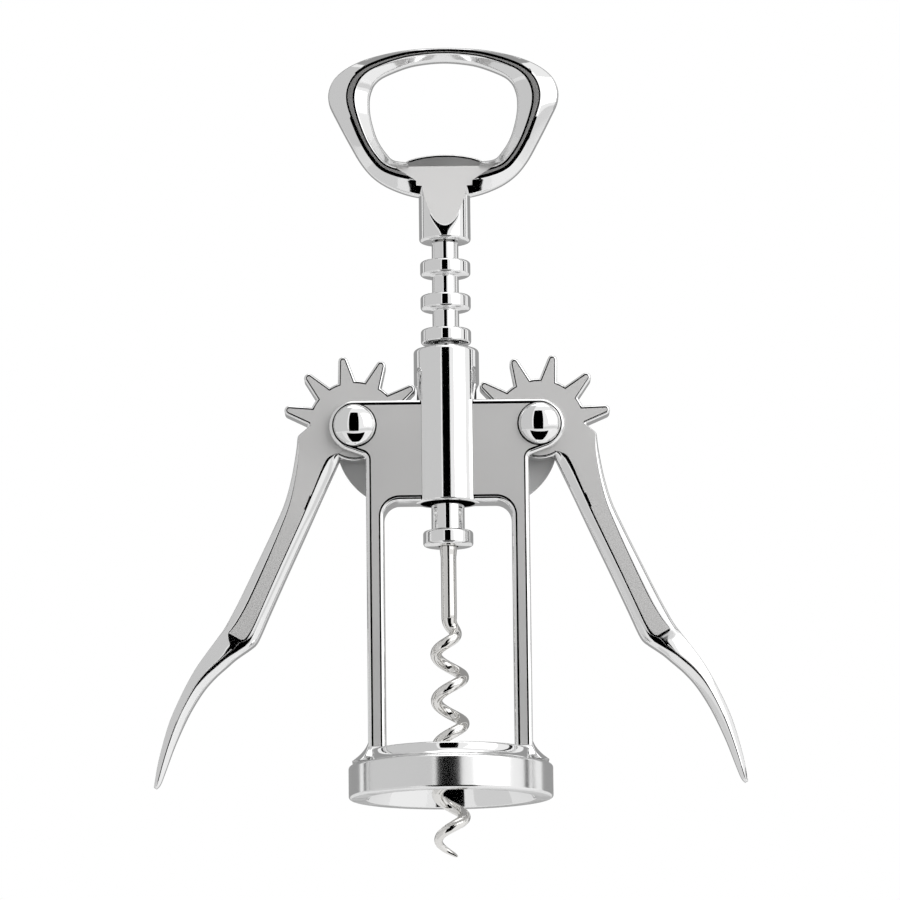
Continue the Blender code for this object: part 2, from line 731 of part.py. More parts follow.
def build_rack(parts):
    """A sleeve with rings. It slides with the spindle, and the rod turns freely inside it."""
    ring = RING_DIAMETER / 2
    neck = NECK_DIAMETER / 2
    skirt = SKIRT_DIAMETER / 2
    profile = [(ROD_HOLE_RADIUS, BOSS_BOTTOM - GAP), (neck, BOSS_BOTTOM - GAP)]
    for number in range(RING_COUNT):
        top = TOP_RING_HEIGHT - number * RACK_PITCH
        bottom = top - RING_THICKNESS
        below = skirt if number == RING_COUNT - 1 else neck
        profile += [
            (neck, top + NECK_FILLET),
            (neck + NECK_FILLET, top),
            (ring - RING_EDGE, top),
            (ring - RING_EDGE / 4, top - RING_EDGE / 4),
            (ring, top - RING_EDGE),
            (ring, bottom + RING_EDGE),
            (ring - RING_EDGE / 4, bottom + RING_EDGE / 4),
            (ring - RING_EDGE, bottom),
            (below + NECK_FILLET, bottom),
            (below, bottom - NECK_FILLET),
        ]
    profile += [(skirt, STOP_TOP + GAP), (ROD_HOLE_RADIUS, STOP_TOP + GAP)]
    rack = turned("rack_sleeve", profile, parts, ROUND_SEGMENTS, closed=True)
    return finish_piece(rack, "turned_rack")


def build_stop(parts):
    outer = STOP_DIAMETER / 2
    profile = [
        (ROD_HOLE_RADIUS, STOP_TOP),
        (outer - STOP_EDGE, STOP_TOP),
        (outer - STOP_EDGE / 4, STOP_TOP - STOP_EDGE / 4),
        (outer, STOP_TOP - STOP_EDGE),
        (outer, STOP_BOTTOM + STOP_EDGE),
        (outer - STOP_EDGE / 4, STOP_BOTTOM + STOP_EDGE / 4),
        (outer - STOP_EDGE, STOP_BOTTOM),
        (ROD_HOLE_RADIUS, STOP_BOTTOM),
    ]
    stop = turned("stop_collar", profile, parts, ROUND_SEGMENTS, closed=True)
    return finish_piece(stop, "turned_rack")


def eased(share):
    """A smooth step from 0 to 1."""
    share = min(max(share, 0.0), 1.0)
    return share * share * (3 - 2 * share)


def worm_points():
    """The wire's centre line from the top of the rod to the point, each with its radius."""
    shank = SHANK_DIAMETER / 2
    wire = WORM_WIRE_DIAMETER / 2
    point = WORM_POINT_DIAMETER / 2
    rod = ROD_DIAMETER / 2
    rows = [
        ((0, 0, BOSS_BOTTOM + SOCKET_DEPTH - GAP), shank),
        ((0, 0, STOP_BOTTOM), shank),
        ((0, 0, STOP_BOTTOM - ROD_TAPER_LENGTH), rod),
        ((0, 0, ROD_END + WORM_WIRE_DIAMETER), rod),
    ]
    steps = round((ROD_END + WORM_TIP_DEPTH) / WORM_PITCH * WORM_POINTS_PER_TURN)
    for step in range(steps + 1):
        height = ROD_END - (ROD_END + WORM_TIP_DEPTH) * step / steps
        turn = math.tau * (height - WORM_RIGHT_TURN_HEIGHT) / WORM_PITCH
        opening = eased((ROD_END - height) / (ROD_END - WORM_TOP))
        to_point = min(1.0, max(0.0, (height + WORM_TIP_DEPTH) / WORM_POINT_LENGTH))
        swing = WORM_RADIUS * opening * (POINT_SWING_share + (1 - POINT_SWING_share) * to_point)
        thick = rod + (wire - rod) * eased(THINNING_share * (ROD_END - height) / (ROD_END - WORM_TOP))
        thick = point + (thick - point) * math.sqrt(to_point)
        rows.append(((swing * math.cos(turn), swing * math.sin(turn), height), thick))
    return rows


def build_worm(parts):
    """The steel wire: a straight rod above, a right-handed open helix below, ground to a point."""
    curve = bpy.data.curves.new("worm", "CURVE")
    curve.dimensions = "3D"
    curve.bevel_depth = SHANK_DIAMETER / 2
    curve.bevel_resolution = 2
    curve.use_fill_caps = True
    rows = worm_points()
    spline = curve.splines.new("POLY")
    spline.points.add(len(rows) - 1)
    for item, (place, radius) in zip(spline.points, rows):
        item.co = (*place, 1)
        item.radius = radius / curve.bevel_depth
    source = bpy.data.objects.new("worm outline", curve)
    parts.objects.link(source)
    return finish_piece(mesh_from(source, "worm", parts), "worm")


# Handle


def loop_sections():
    """Sections round the handle's loop, each from its outer edge to the window's edge and back."""
    half_width = LOOP_WIDTH / 2
    half_window = WINDOW_WIDTH / 2
    outer = [(across * half_width, LOOP_BOTTOM + up * LOOP_HEIGHT) for across, up in LOOP_OUTLINE_shares]
    inner = [(across * half_window, WINDOW_BOTTOM + up * WINDOW_HEIGHT) for across, up in WINDOW_OUTLINE_shares]
    outer = smooth_closed(mirrored(outer), LOOP_STATIONS)
    inner = smooth_closed(mirrored(inner), LOOP_STATIONS)
    sections = []
    for near, far in zip(outer, inner):
        front = []
        for share, height in LOOP_SECTION_shares:
            point = near.lerp(far, share)
            front.append((point.x, -height * LOOP_THICKNESS / 2, point.y))
        rear = [(x, -y, z) for x, y, z in reversed(front)]
        sections.append(front + rear)
    return sections


def facet_cutter(name, facing, cutters):
    """A block with the facet's outline, tilted so that it bites deeper towards the window."""
    rise = WINDOW_BOTTOM - FACET_START
    half = [(across * LOOP_WIDTH / 2, up * rise) for across, up in FACET_OUTLINE_shares]
    tilt = math.radians(FACET_TILT_DEG)
    block = outline_solid(name, mirrored(half), FACET_CUT_DEPTH, 0, cutters)
    block.data.transform(Matrix.Translation((0, -FACET_CUT_DEPTH / 2, 0)))
    block.data.transform(Matrix.Rotation(-tilt, 4, "X"))
    if facing < 0:
        block.data.transform(Matrix.Rotation(math.pi, 4, "Z"))
    block.location = (0, -facing * BOSS_DIAMETER / 2, FACET_START)
    return block


def build_handle(parts, cutters):
    """The loop, the boss that it grows from, the flat across both faces and the cap-lifter lip."""
    handle = loft("handle", loop_sections(), parts, ring=True)
    boss = BOSS_DIAMETER / 2
    boss_top = (LOOP_BOTTOM + WINDOW_BOTTOM) / 2
    boss_profile = [
        (0, boss_top),
        (boss - BOSS_EDGE, boss_top),
        (boss, boss_top - BOSS_EDGE),
        (boss, BOSS_BOTTOM + BOSS_EDGE),
        (boss - BOSS_EDGE / 4, BOSS_BOTTOM + BOSS_EDGE / 4),
        (boss - BOSS_EDGE, BOSS_BOTTOM),
        (0, BOSS_BOTTOM),
    ]
    boolean(handle, "UNION", turned("boss", boss_profile, cutters, ROUND_SEGMENTS))
    half_lip = LIFTER_WIDTH / 2
    lip = [(0, LIFTER_RISE), (half_lip * 0.4, LIFTER_RISE * 0.9), (half_lip * 0.75, LIFTER_RISE * 0.55)]
    lip += [(half_lip, 0), (half_lip * 0.9, -LIFTER_ROOT)]
    lifter = outline_solid("lifter_lip", mirrored(lip), LIFTER_THICKNESS, 0, cutters, (0, 0, WINDOW_BOTTOM))
    boolean(handle, "UNION", lifter)
    boolean(handle, "DIFFERENCE", facet_cutter("front_facet", 1, cutters))
    boolean(handle, "DIFFERENCE", facet_cutter("back_facet", -1, cutters))
    socket_profile = [
        (0, BOSS_BOTTOM + SOCKET_DEPTH),
        (ROD_HOLE_RADIUS, BOSS_BOTTOM + SOCKET_DEPTH),
        (ROD_HOLE_RADIUS, BOSS_BOTTOM - CUT_OVERRUN),
        (0, BOSS_BOTTOM - CUT_OVERRUN),
    ]
    boolean(handle, "DIFFERENCE", turned("rod_socket", socket_profile, cutters, ROUND_SEGMENTS))
    return finish_piece(handle, "handle_casting")


def main():
    clear_scene()
    parts = make_collection("winged_corkscrew")
    cutters = make_collection("cutters")
    build_frame(parts, cutters)
    build_rivet("pivot_rivet_left", -1, parts)
    build_rivet("pivot_rivet_right", 1, parts)
    build_lever("lever_left", -1, LEFT_TOOTH_RISE_DEG, parts, cutters)
    build_lever("lever_right", 1, RIGHT_TOOTH_RISE_DEG, parts, cutters)
    build_rack(parts)
    build_stop(parts)
    build_worm(parts)
    build_handle(parts, cutters)


main()
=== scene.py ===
"""Winged corkscrew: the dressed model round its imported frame.

Metres, +Z up along the spindle. The origin is the middle of the bell's mouth and the tool faces -Y.
"""

import math

import bmesh
import bpy
from bpy.props import FloatProperty, FloatVectorProperty, PointerProperty
from bpy.types import Operator, Panel, PropertyGroup
from mathutils import Matrix, Vector


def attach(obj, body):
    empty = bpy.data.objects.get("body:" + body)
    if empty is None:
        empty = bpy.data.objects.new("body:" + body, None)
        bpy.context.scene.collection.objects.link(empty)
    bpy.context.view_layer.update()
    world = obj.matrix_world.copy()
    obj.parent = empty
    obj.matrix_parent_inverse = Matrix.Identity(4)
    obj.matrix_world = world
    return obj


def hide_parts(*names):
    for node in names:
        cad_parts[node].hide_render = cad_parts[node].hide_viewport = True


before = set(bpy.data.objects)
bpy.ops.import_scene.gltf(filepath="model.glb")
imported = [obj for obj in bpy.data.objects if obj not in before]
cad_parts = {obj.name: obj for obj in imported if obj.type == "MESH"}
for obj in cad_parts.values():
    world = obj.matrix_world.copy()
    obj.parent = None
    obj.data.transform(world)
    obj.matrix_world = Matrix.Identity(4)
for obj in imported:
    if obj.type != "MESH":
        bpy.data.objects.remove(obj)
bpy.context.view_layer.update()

bl_info = {
    "name": "Winged corkscrew",
    "version": (1, 0, 0),
    "blender": (4, 5, 0),
    "location": "3D View > Sidebar > Corkscrew",
    "description": "Models a chrome winged corkscrew with its levers, ringed rack, worm and loop handle",
    "category": "Add Mesh",
}

MERGE = 0.000002
ROUND_STEPS = 128
# A flat faces this squarely to front or back, and lies this near to its level
FLAT_COSINE = 0.99995
FLAT_PLAY = 0.00008


# Sizes and colours that a user may change


class CorkscrewSizes(PropertyGroup):
    pivot_height: FloatProperty(
        name="Pivot height", description="From the bell's rim to both rivets", default=0.0819, unit="LENGTH"
    )
    pivot_across: FloatProperty(
        name="Pivot offset", description="From the spindle to each rivet", default=0.0203, unit="LENGTH"
    )
    frame_depth: FloatProperty(
        name="Frame depth", description="Front to back over both cheek plates", default=0.0100, unit="LENGTH"
    )
    slot_depth: FloatProperty(
        name="Slot depth", description="Space for the levers between plates", default=0.0060, unit="LENGTH"
    )
    bell_radius: FloatProperty(
        name="Bell radius", description="Outside radius of the bell's band", default=0.0223, unit="LENGTH"
    )
    barrel_radius: FloatProperty(
        name="Barrel radius", description="Outside radius of the barrel", default=0.0072, unit="LENGTH"
    )
    edge_round: FloatProperty(
        name="Edge rounding", description="Rounding of the cheek plates' edges", default=0.0008, unit="LENGTH"
    )
    ring_pitch: FloatProperty(
        name="Ring pitch", description="From one ring of the rack to the next", default=0.00766, unit="LENGTH"
    )
    worm_radius: FloatProperty(
        name="Worm radius", description="From the axis to the wire's middle", default=0.00295, unit="LENGTH"
    )
    worm_pitch: FloatProperty(
        name="Worm pitch", description="Rise of the worm in one turn", default=0.0102, unit="LENGTH"
    )
    loop_width: FloatProperty(
        name="Loop width", description="Widest part of the handle's loop", default=0.0512, unit="LENGTH"
    )
    loop_thickness: FloatProperty(
        name="Loop thickness", description="Front to back over the crest", default=0.0070, unit="LENGTH"
    )


class CorkscrewFinish(PropertyGroup):
    chrome: FloatVectorProperty(
        name="Chrome", description="Bright chrome plate", default=(0.83, 0.83, 0.83),
        subtype="COLOR", min=0, max=1,
    )
    flat: FloatVectorProperty(
        name="Flats", description="Chrome over ground flats", default=(0.76, 0.755, 0.75),
        subtype="COLOR", min=0, max=1,
    )
    nickel: FloatVectorProperty(
        name="Wire", description="Nickel plated wire", default=(0.78, 0.77, 0.75),
        subtype="COLOR", min=0, max=1,
    )
    polish: FloatProperty(
        name="Polish", description="Roughness of the bright chrome", default=0.05,
        min=0, max=1, subtype="FACTOR",
    )
    floor: FloatVectorProperty(
        name="Floor", description="Pale studio floor", default=(0.87, 0.87, 0.87),
        subtype="COLOR", min=0, max=1,
    )


# Modelling helpers, each working as by hand in edit mode


def clear_selection():
    if bpy.context.object and bpy.context.object.mode != "OBJECT":
        bpy.ops.object.mode_set(mode="OBJECT")
    bpy.ops.object.select_all(action="DESELECT")


def named(name):
    item = bpy.context.object
    item.name = name
    item.data.name = name
    return item


def edit_mesh(item):
    shell = bmesh.from_edit_mesh(item.data)
    shell.verts.ensure_lookup_table()
    return shell


def pick(item, kind, levels, axis):
    """Selects the edges or faces that lie wholly at one of the levels along an axis."""
    bpy.ops.mesh.select_all(action="DESELECT")
    shell = edit_mesh(item)
    for part in getattr(shell, kind):
        if any(all(abs(v.co[axis] - level) < MERGE for v in part.verts) for level in levels):
            part.select = True
    bmesh.update_edit_mesh(item.data)


def close_up(item):
    """Welds seams and poles, turns the faces outward and leaves edit mode."""
    bpy.ops.mesh.select_all(action="SELECT")
    bpy.ops.mesh.remove_doubles(threshold=MERGE)
    bpy.ops.mesh.normals_make_consistent(inside=False)
    bpy.ops.object.mode_set(mode="OBJECT")
    return item


def drawn(name, points, closed=False):
    """A line of points, each extruded from the one before. It is left open in edit mode."""
    clear_selection()
    bpy.ops.mesh.primitive_plane_add(size=0.001, enter_editmode=True)
    item = named(name)
    bpy.ops.mesh.merge(type="CENTER")
    bpy.ops.transform.translate(value=points[0])
    for here, there in zip(points, points[1:]):
        move = tuple(b - a for a, b in zip(here, there))
        bpy.ops.mesh.extrude_region_move(TRANSFORM_OT_translate={"value": move})
    if closed:
        bpy.ops.mesh.select_all(action="DESELECT")
        shell = edit_mesh(item)
        shell.verts[0].select = True
        shell.verts[len(shell.verts) - 1].select = True
        bmesh.update_edit_mesh(item.data)
        bpy.ops.mesh.edge_face_add()
    return item


def turned(name, profile, centre=(0, 0, 0), forward=False, steps=ROUND_STEPS):
    """A turned solid from (radius, height) points. forward turns it about a line from back to front."""
    x, y, z = centre
    if forward:
        points = [(x + radius, y - height, z) for radius, height in profile]
        axis = (0, 1, 0)
    else:
        points = [(x + radius, y, z + height) for radius, height in profile]
        axis = (0, 0, 1)
    item = drawn(name, points)
    bpy.ops.mesh.select_all(action="SELECT")
    bpy.ops.mesh.spin(steps=steps, angle=math.tau, center=centre, axis=axis)
    return close_up(item)


def plate(name, outline, front, back, edge=0.0, rims=("front", "back"), rounds=4, up="Z", roll=None):
    """An outline of (across, up) points made solid, with its rims rounded.

    roll is the width and drop of the soft band that the buffing wheel leaves between a flat and its rim.
    """
    if up == "Z":
        points = [(across, front, height) for across, height in outline]
        push = (0, back - front, 0)
    else:
        points = [(across, depth, front) for across, depth in outline]
        push = (0, 0, back - front)
    item = drawn(name, points, closed=True)
    bpy.ops.mesh.select_all(action="SELECT")
    bpy.ops.mesh.edge_face_add()
    bpy.ops.mesh.extrude_region_move(TRANSFORM_OT_translate={"value": push})
    levels = [front if rim == "front" else back for rim in rims]
    axis = 1 if up == "Z" else 2
    if edge:
        bpy.ops.mesh.select_mode(type="EDGE")
        pick(item, "edges", levels, axis)
        bpy.ops.mesh.bevel(offset=edge, segments=rounds, affect="EDGES")
    if roll:
        bpy.ops.mesh.select_all(action="SELECT")
        bpy.ops.mesh.normals_make_consistent(inside=False)
        bpy.ops.mesh.select_mode(type="FACE")
        pick(item, "faces", levels, axis)
        bpy.ops.mesh.inset(thickness=roll[0], depth=roll[1])
    bpy.ops.mesh.select_mode(type="VERT")
    return close_up(item)


def lofted(name, sections, ring=False):
    """A skin grown from one closed section to the next, by extruding and reshaping."""
    count = len(sections[0])
    clear_selection()
    bpy.ops.mesh.primitive_circle_add(vertices=count, radius=0.001, enter_editmode=True)
    item = named(name)
    shell = edit_mesh(item)
    number = shell.verts.layers.int.new("place in section")
    for index, (vertex, point) in enumerate(zip(list(shell.verts), sections[0])):
        vertex.co = point
        vertex[number] = index
    bmesh.update_edit_mesh(item.data)
    bpy.ops.mesh.select_all(action="SELECT")
    if not ring:
        bpy.ops.mesh.edge_face_add()
    for section in sections[1:] + ([sections[0]] if ring else []):
        if ring:
            bpy.ops.mesh.extrude_edges_move()
        else:
            bpy.ops.mesh.extrude_region_move()
        shell = edit_mesh(item)
        number = shell.verts.layers.int["place in section"]
        for vertex in [v for v in shell.verts if v.select]:
            vertex.co = section[vertex[number]]
        bmesh.update_edit_mesh(item.data)
    shell = edit_mesh(item)
    shell.verts.layers.int.remove(shell.verts.layers.int["place in section"])
    return close_up(item)


def combine(piece, others, operation):
    """Unites with, or cuts by, other solids, which are used up."""
    for other in others:
        clear_selection()
        piece.select_set(True)
        bpy.context.view_layer.objects.active = piece
        modifier = piece.modifiers.new(operation.lower(), "BOOLEAN")
        modifier.operation = operation
        modifier.solver = "EXACT"
        modifier.object = other
        bpy.ops.object.modifier_apply(modifier=modifier.name)
        bpy.data.objects.remove(other, do_unlink=True)
    return piece


def finish_piece(piece, body, node, bright, flat=None, smooth_deg=38.0, square=FLAT_COSINE, levels=()):
    """Shades a piece, gives its flats their own finish, and hangs it on its body in the node's place.

    levels are the distances from the middle plane at which a flat may lie, and none means any.
    """
    clear_selection()
    piece.select_set(True)
    bpy.context.view_layer.objects.active = piece
    piece.data.materials.clear()
    piece.data.materials.append(bright)
    if flat:
        piece.data.materials.append(flat)
        for face in piece.data.polygons:
            level = not levels or any(abs(abs(face.center.y) - y) < FLAT_PLAY for y in levels)
            if abs(face.normal.y) > square and level:
                face.material_index = 1
    bpy.ops.object.shade_smooth_by_angle(angle=math.radians(smooth_deg))
    weighted = piece.modifiers.new("weighted normals", "WEIGHTED_NORMAL")
    weighted.keep_sharp = True
    bpy.ops.object.modifier_apply(modifier=weighted.name)
    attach(piece, body)
    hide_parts(node)
    return piece


# Outline helpers: points are (across, up) pairs


def arc(centre, radius, start_deg, end_deg, steps):
    points = []
    for step in range(steps + 1):
        angle = math.radians(start_deg + (end_deg - start_deg) * step / steps)
        points.append((centre[0] + radius * math.cos(angle), centre[1] + radius * math.sin(angle)))
    return points


def fillet(before, corner, after, radius, steps=8):
    """Points of the arc that rounds one corner of an outline."""
    corner = Vector(corner)
    inward = (Vector(before) - corner).normalized()
    outward = (Vector(after) - corner).normalized()
    half = inward.angle(outward) / 2
    run = radius / math.tan(half)
    centre = corner + (inward + outward).normalized() * (radius / math.sin(half))
    first = corner + inward * run - centre
    last = corner + outward * run - centre
    turn = first.angle_signed(last)
    points = []
    for step in range(steps + 1):
        spoke = first.copy()
        spoke.rotate(Matrix.Rotation(-turn * step / steps, 2))
        points.append(tuple(centre + spoke))
    return points


def rounded(points, radii, steps=5):
    """A (radius, height) profile with the corners whose radius isn't zero rounded."""
    result = []
    for index, (point, radius) in enumerate(zip(points, radii)):
        if radius and 0 < index < len(points) - 1:
            result += fillet(points[index - 1], point, points[index + 1], radius, steps)
        else:
            result.append(point)
    return result


def mirrored(half):
    left = [(-across, up) for across, up in reversed(half) if across > MERGE]
    return list(half) + left


def spline(rows, steps, closed=False):
    """Rows of numbers with smooth steps added between them."""
    total = len(rows)
    last = total if closed else total - 1
    result = []
    for index in range(last):
        if closed:
            a, b, c, d = (rows[(index + offset) % total] for offset in (-1, 0, 1, 2))
        else:
            a, b, c, d = (rows[min(max(index + offset, 0), total - 1)] for offset in (-1, 0, 1, 2))
        for step in range(steps):
            t = step / steps
            row = []
            for p, q, r, s in zip(a, b, c, d):
                square, cube = 2 * p - 5 * q + 4 * r - s, 3 * q - 3 * r + s - p
                row.append(0.5 * (2 * q + (r - p) * t + square * t**2 + cube * t**3))
            result.append(tuple(row))
    if not closed:
        result.append(tuple(rows[-1]))
    return result


def evenly(points, count):
    """The same closed line with its points spaced evenly."""
    points = [Vector(point) for point in points]
    lengths = [0.0]
    for index, point in enumerate(points):
        lengths.append(lengths[-1] + (points[(index + 1) % len(points)] - point).length)
    spaced = []
    index = 0
    for number in range(count):
        target = lengths[-1] * number / count
        while lengths[index + 1] < target:
            index += 1
        share = (target - lengths[index]) / (lengths[index + 1] - lengths[index])
        spaced.append(points[index].lerp(points[(index + 1) % len(points)], share))
    return spaced


def eased(share):
    share = min(max(share, 0.0), 1.0)
    return share * share * (3 - 2 * share)


# Materials


def linear(code):
    """An sRGB hex colour as linear RGBA."""
    values = [int(code[place : place + 2], 16) / 255 for place in (1, 3, 5)]
    return (*(v / 12.92 if v <= 0.04045 else ((v + 0.055) / 1.055) ** 2.4 for v in values), 1.0)


def add_node(tree, kind, links=(), values=(), **settings):
    """Adds a node, sets its values and settings, and links its inputs."""
    node = tree.nodes.new(kind)
    for key, value in settings.items():
        setattr(node, key, value)
    for key, value in values:
        node.inputs[key].default_value = value
    for key, source in links:
        tree.links.new(source, node.inputs[key])
    return node


def metal(name, colour, roughness, wave_mm, wave_depth, grain_mm, grain_depth, haze, stretch=(1, 1, 1)):
    """A plated metal: slow waves left by buffing, the grain of the last wheel, and a faint haze."""
    material = bpy.data.materials.new(name)
    material.use_nodes = True
    tree = material.node_tree
    shader = tree.nodes["Principled BSDF"]
    shader.inputs["Base Color"].default_value = (*colour, 1.0)
    shader.inputs["Metallic"].default_value = 1.0
    place = add_node(tree, "ShaderNodeTexCoord").outputs["Object"]
    stretched = add_node(tree, "ShaderNodeMapping", [("Vector", place)], [("Scale", stretch)])
    wave = add_node(
        tree, "ShaderNodeTexNoise", [("Vector", place)], [("Scale", 1000 / wave_mm), ("Detail", 1.0)]
    )
    grain = add_node(
        tree,
        "ShaderNodeTexNoise",
        [("Vector", stretched.outputs["Vector"])],
        [("Scale", 1000 / grain_mm), ("Detail", 3.0), ("Roughness", 0.6)],
    )
    # Handling leaves a haze in patches about 14 mm wide
    haze_patch = add_node(tree, "ShaderNodeTexNoise", [("Vector", place)], [("Scale", 70.0), ("Detail", 4.0)])
    spread = add_node(
        tree,
        "ShaderNodeMapRange",
        [("Value", haze_patch.outputs["Fac"])],
        [("From Min", 0.35), ("From Max", 0.75), ("To Min", roughness), ("To Max", roughness + haze)],
    )
    tree.links.new(spread.outputs["Result"], shader.inputs["Roughness"])
    slow = add_node(
        tree, "ShaderNodeBump",
        [("Height", wave.outputs["Fac"])], [("Strength", 1.0), ("Distance", wave_depth)],
    )
    fine = add_node(
        tree,
        "ShaderNodeBump",
        [("Height", grain.outputs["Fac"]), ("Normal", slow.outputs["Normal"])],
        [("Strength", 1.0), ("Distance", grain_depth)],
    )
    tree.links.new(fine.outputs["Normal"], shader.inputs["Normal"])
    return material


# Each finish's colour, roughness (None for the polish that the user sets), width in mm and height of the
# waves, width in mm and height of the grain, added haze, and the grain's stretch
FINISHES = {
    # Bright chrome over a buffed zinc casting: mirror-like, with reflections that swim a little
    "bright_chrome_on_zinc_casting": ("chrome", None, 7.0, 0.000012, 0.6, 0.0000003, 0.03),
    # The flats were ground on a belt before plating: they blur what they mirror to an even grey
    "satin_chrome_on_ground_flats": ("flat", 0.50, 9.0, 0.000006, 0.35, 0.000001, 0.04, (1, 1, 3)),
    # The same belt finish on the levers, a little duller
    "satin_chrome_on_lever_faces": ("flat", 0.56, 9.0, 0.000006, 0.6, 0.0000004, 0.04, (1, 1, 3)),
    # A narrow flat kept nearly sharp by the wheel: it mirrors more of the dark front of the room
    "satin_chrome_on_loop_crest": ("flat", 0.30, 9.0, 0.000003, 0.35, 0.0000005, 0.04),
    # Milled across and belted: a dull face, which catches the light from above
    "satin_chrome_on_milled_facet": ("flat", 0.60, 9.0, 0.000004, 0.35, 0.000001, 0.04, (3, 1, 1)),
    # Chrome over the casting's raw skin, where no wheel reaches: the dullest and most even
    "matte_chrome_inside_slot": ("chrome", 0.82, 9.0, 0.000006, 0.5, 0.000001, 0.04),
    # The band is buffed round on a soft wheel: its reflections have soft edges
    "buffed_chrome_on_bell_band": ("chrome", 0.15, 9.0, 0.000006, 0.6, 0.0000001, 0.03),
    # Turned and polished steel under chrome: the crispest reflections, with faint rings round it
    "bright_chrome_on_turned_steel": ("chrome", 0.03, 12.0, 0.000004, 0.5, 0.0000002, 0.02, (0.05, 0.05, 1)),
    # Drawn steel wire under nickel: a little duller and warmer than the chrome
    "nickel_on_drawn_wire": ("nickel", 0.06, 3.0, 0.000006, 0.4, 0.0000004, 0.04),
}


def finish(name):
    """The named finish, made the first time that it is asked for."""
    if name in bpy.data.materials:
        return bpy.data.materials[name]
    colours = bpy.context.scene.corkscrew_finish
    colour, roughness, *texture = FINISHES[name]
    if roughness is None:
        roughness = colours.polish
    return metal(name, getattr(colours, colour), roughness, *texture)


# Frame casting


BELL_BAND = 0.0072
BELL_TOP = 0.0105
# Seat of the bottle's lip: radius of the recess, and height of the ledge over it
LIP_RADIUS = 0.0149
LIP_LEDGE = 0.0070
BELL_BORE = 0.0135
EAR_RADIUS = 0.0056
EAR_END_DEG = -70
LEG_OUTER = 0.0179
LEG_INNER = 0.0140
LEG_FOOT = 0.0078
# The cage's top below the pivots, and the radius of its corners
CAGE_DROP = 0.0168
CAGE_CORNER = 0.0035
# The back plate's disc, about a point beside the spindle and a little below the pivots
DISC_ACROSS = 0.0095
DISC_DROP = 0.0021
DISC_RADIUS = 0.0150
# The back half of the frame is smaller all round by this, so that no face lies in another one
HAIR = 0.00001
PLATE_OVERLAP = 0.0004
PLATE_ROLL = (0.00035, 0.000018)
BARREL_RISE = 0.0175
BARREL_DROP = 0.0169
BARREL_FILLET = 0.0017
BORE_RADIUS = 0.0060
SLOT_RADIUS = 0.0164
RIVET_HOLE = 0.0028
RIVET_SEAT = 0.0049
RIVET_SEAT_DEPTH = 0.0004
# Cutters start and end this far outside the metal
CLEAR = 0.002


def bell_profile(sizes):
    """(radius, height) points of the bell: collar, hollow shoulder, band, mouth, lip recess and bore."""
    outer = sizes.bell_radius
    corners = [
        (0.0138, BELL_TOP), (0.0180, BELL_TOP), (0.0182, 0.0073), (outer, BELL_BAND), (outer, 0.0),
        (0.0184, 0.0), (LIP_RADIUS, 0.0056), (LIP_RADIUS, LIP_LEDGE), (BELL_BORE, LIP_LEDGE),
        (BELL_BORE, BELL_TOP), (0.0138, BELL_TOP),
    ]
    radii = [0, 0.0005, 0.0026, 0.0007, 0.0006, 0.0003, 0.0, 0.0002, 0.0002, 0.00015, 0]
    return rounded(corners, radii, 8)


def ear_outline(sizes, front):
    """Half of a cheek plate, from the top down its outer side to the leg, and up to the cage's top."""
    pivot = (sizes.pivot_across, sizes.pivot_height)
    hair = 0.0 if front else HAIR
    top = sizes.pivot_height + EAR_RADIUS - hair
    bottom = sizes.pivot_height - CAGE_DROP + hair
    outer, inner, foot = LEG_OUTER - hair, LEG_INNER + hair, LEG_FOOT + hair
    if front:
        ear = arc(pivot, EAR_RADIUS, 90, EAR_END_DEG, 40)
        slope = Vector((math.sin(math.radians(EAR_END_DEG)), -math.cos(math.radians(EAR_END_DEG))))
        step = Vector(ear[-1]) + slope * ((ear[-1][0] - outer) / -slope.x)
        side = ear + fillet(ear[-1], tuple(step), (outer, foot), 0.0012)
    else:
        centre = (DISC_ACROSS, sizes.pivot_height - DISC_DROP)
        start = math.degrees(math.asin((top - 0.0022 - centre[1]) / DISC_RADIUS))
        end = -math.degrees(math.acos((outer - centre[0]) / DISC_RADIUS))
        ear = arc(centre, DISC_RADIUS, start, end, 40)
        side = fillet((0, top), (ear[0][0], top), ear[0], 0.0015) + ear
    foot_line = [(outer, foot), (inner, foot)]
    return mirrored(side + foot_line + fillet(foot_line[1], (inner, bottom), (0, bottom), CAGE_CORNER, 14))


def foot_sections(side, sizes):
    """A leg's foot, which spreads outward and to front and back as it flows into the bell."""
    sections = []
    for step in range(13):
        share = step / 12
        grow = share**2.2
        height, corner = 0.0142 - 0.0064 * share, 0.0013 + 0.0006 * share
        inner, outer = 0.0142, 0.0176 + 0.0038 * grow
        middle, half = (inner + outer) / 2, (outer - inner) / 2
        back = sizes.frame_depth / 2 - 0.0006 + 0.0031 * grow
        quarter = [(half, 0.0)]
        for bend in range(9):
            turn = math.radians(90) * bend / 8
            quarter.append((half - corner + corner * math.cos(turn), back - corner + corner * math.sin(turn)))
        line = quarter + [(-across, depth) for across, depth in reversed(quarter[1:])]
        line += [(-across, -depth) for across, depth in quarter]
        line += [(across, -depth) for across, depth in reversed(quarter[1:])]
        sections.append([(side * (middle + across), depth, height) for across, depth in line])
    return sections


def barrel_apron(sizes):
    """Half of the plan of the barrel's lower part: its front, the hollow fillet, and the cheek plate."""
    plane = sizes.frame_depth / 2
    reach = sizes.barrel_radius + BARREL_FILLET
    across = math.sqrt(reach**2 - (plane + BARREL_FILLET) ** 2)
    centre = (across, -(plane + BARREL_FILLET))
    start = math.degrees(math.atan2(-centre[1], -centre[0]))
    hollow = arc(centre, BARREL_FILLET, start, 90, 12)
    # Points run from the barrel's own surface, along the hollow, and back inside the metal
    inside = sizes.barrel_radius * 0.3
    return [(inside, -0.004)] + hollow + [(across, -plane + 0.001), (inside, -0.0035)]


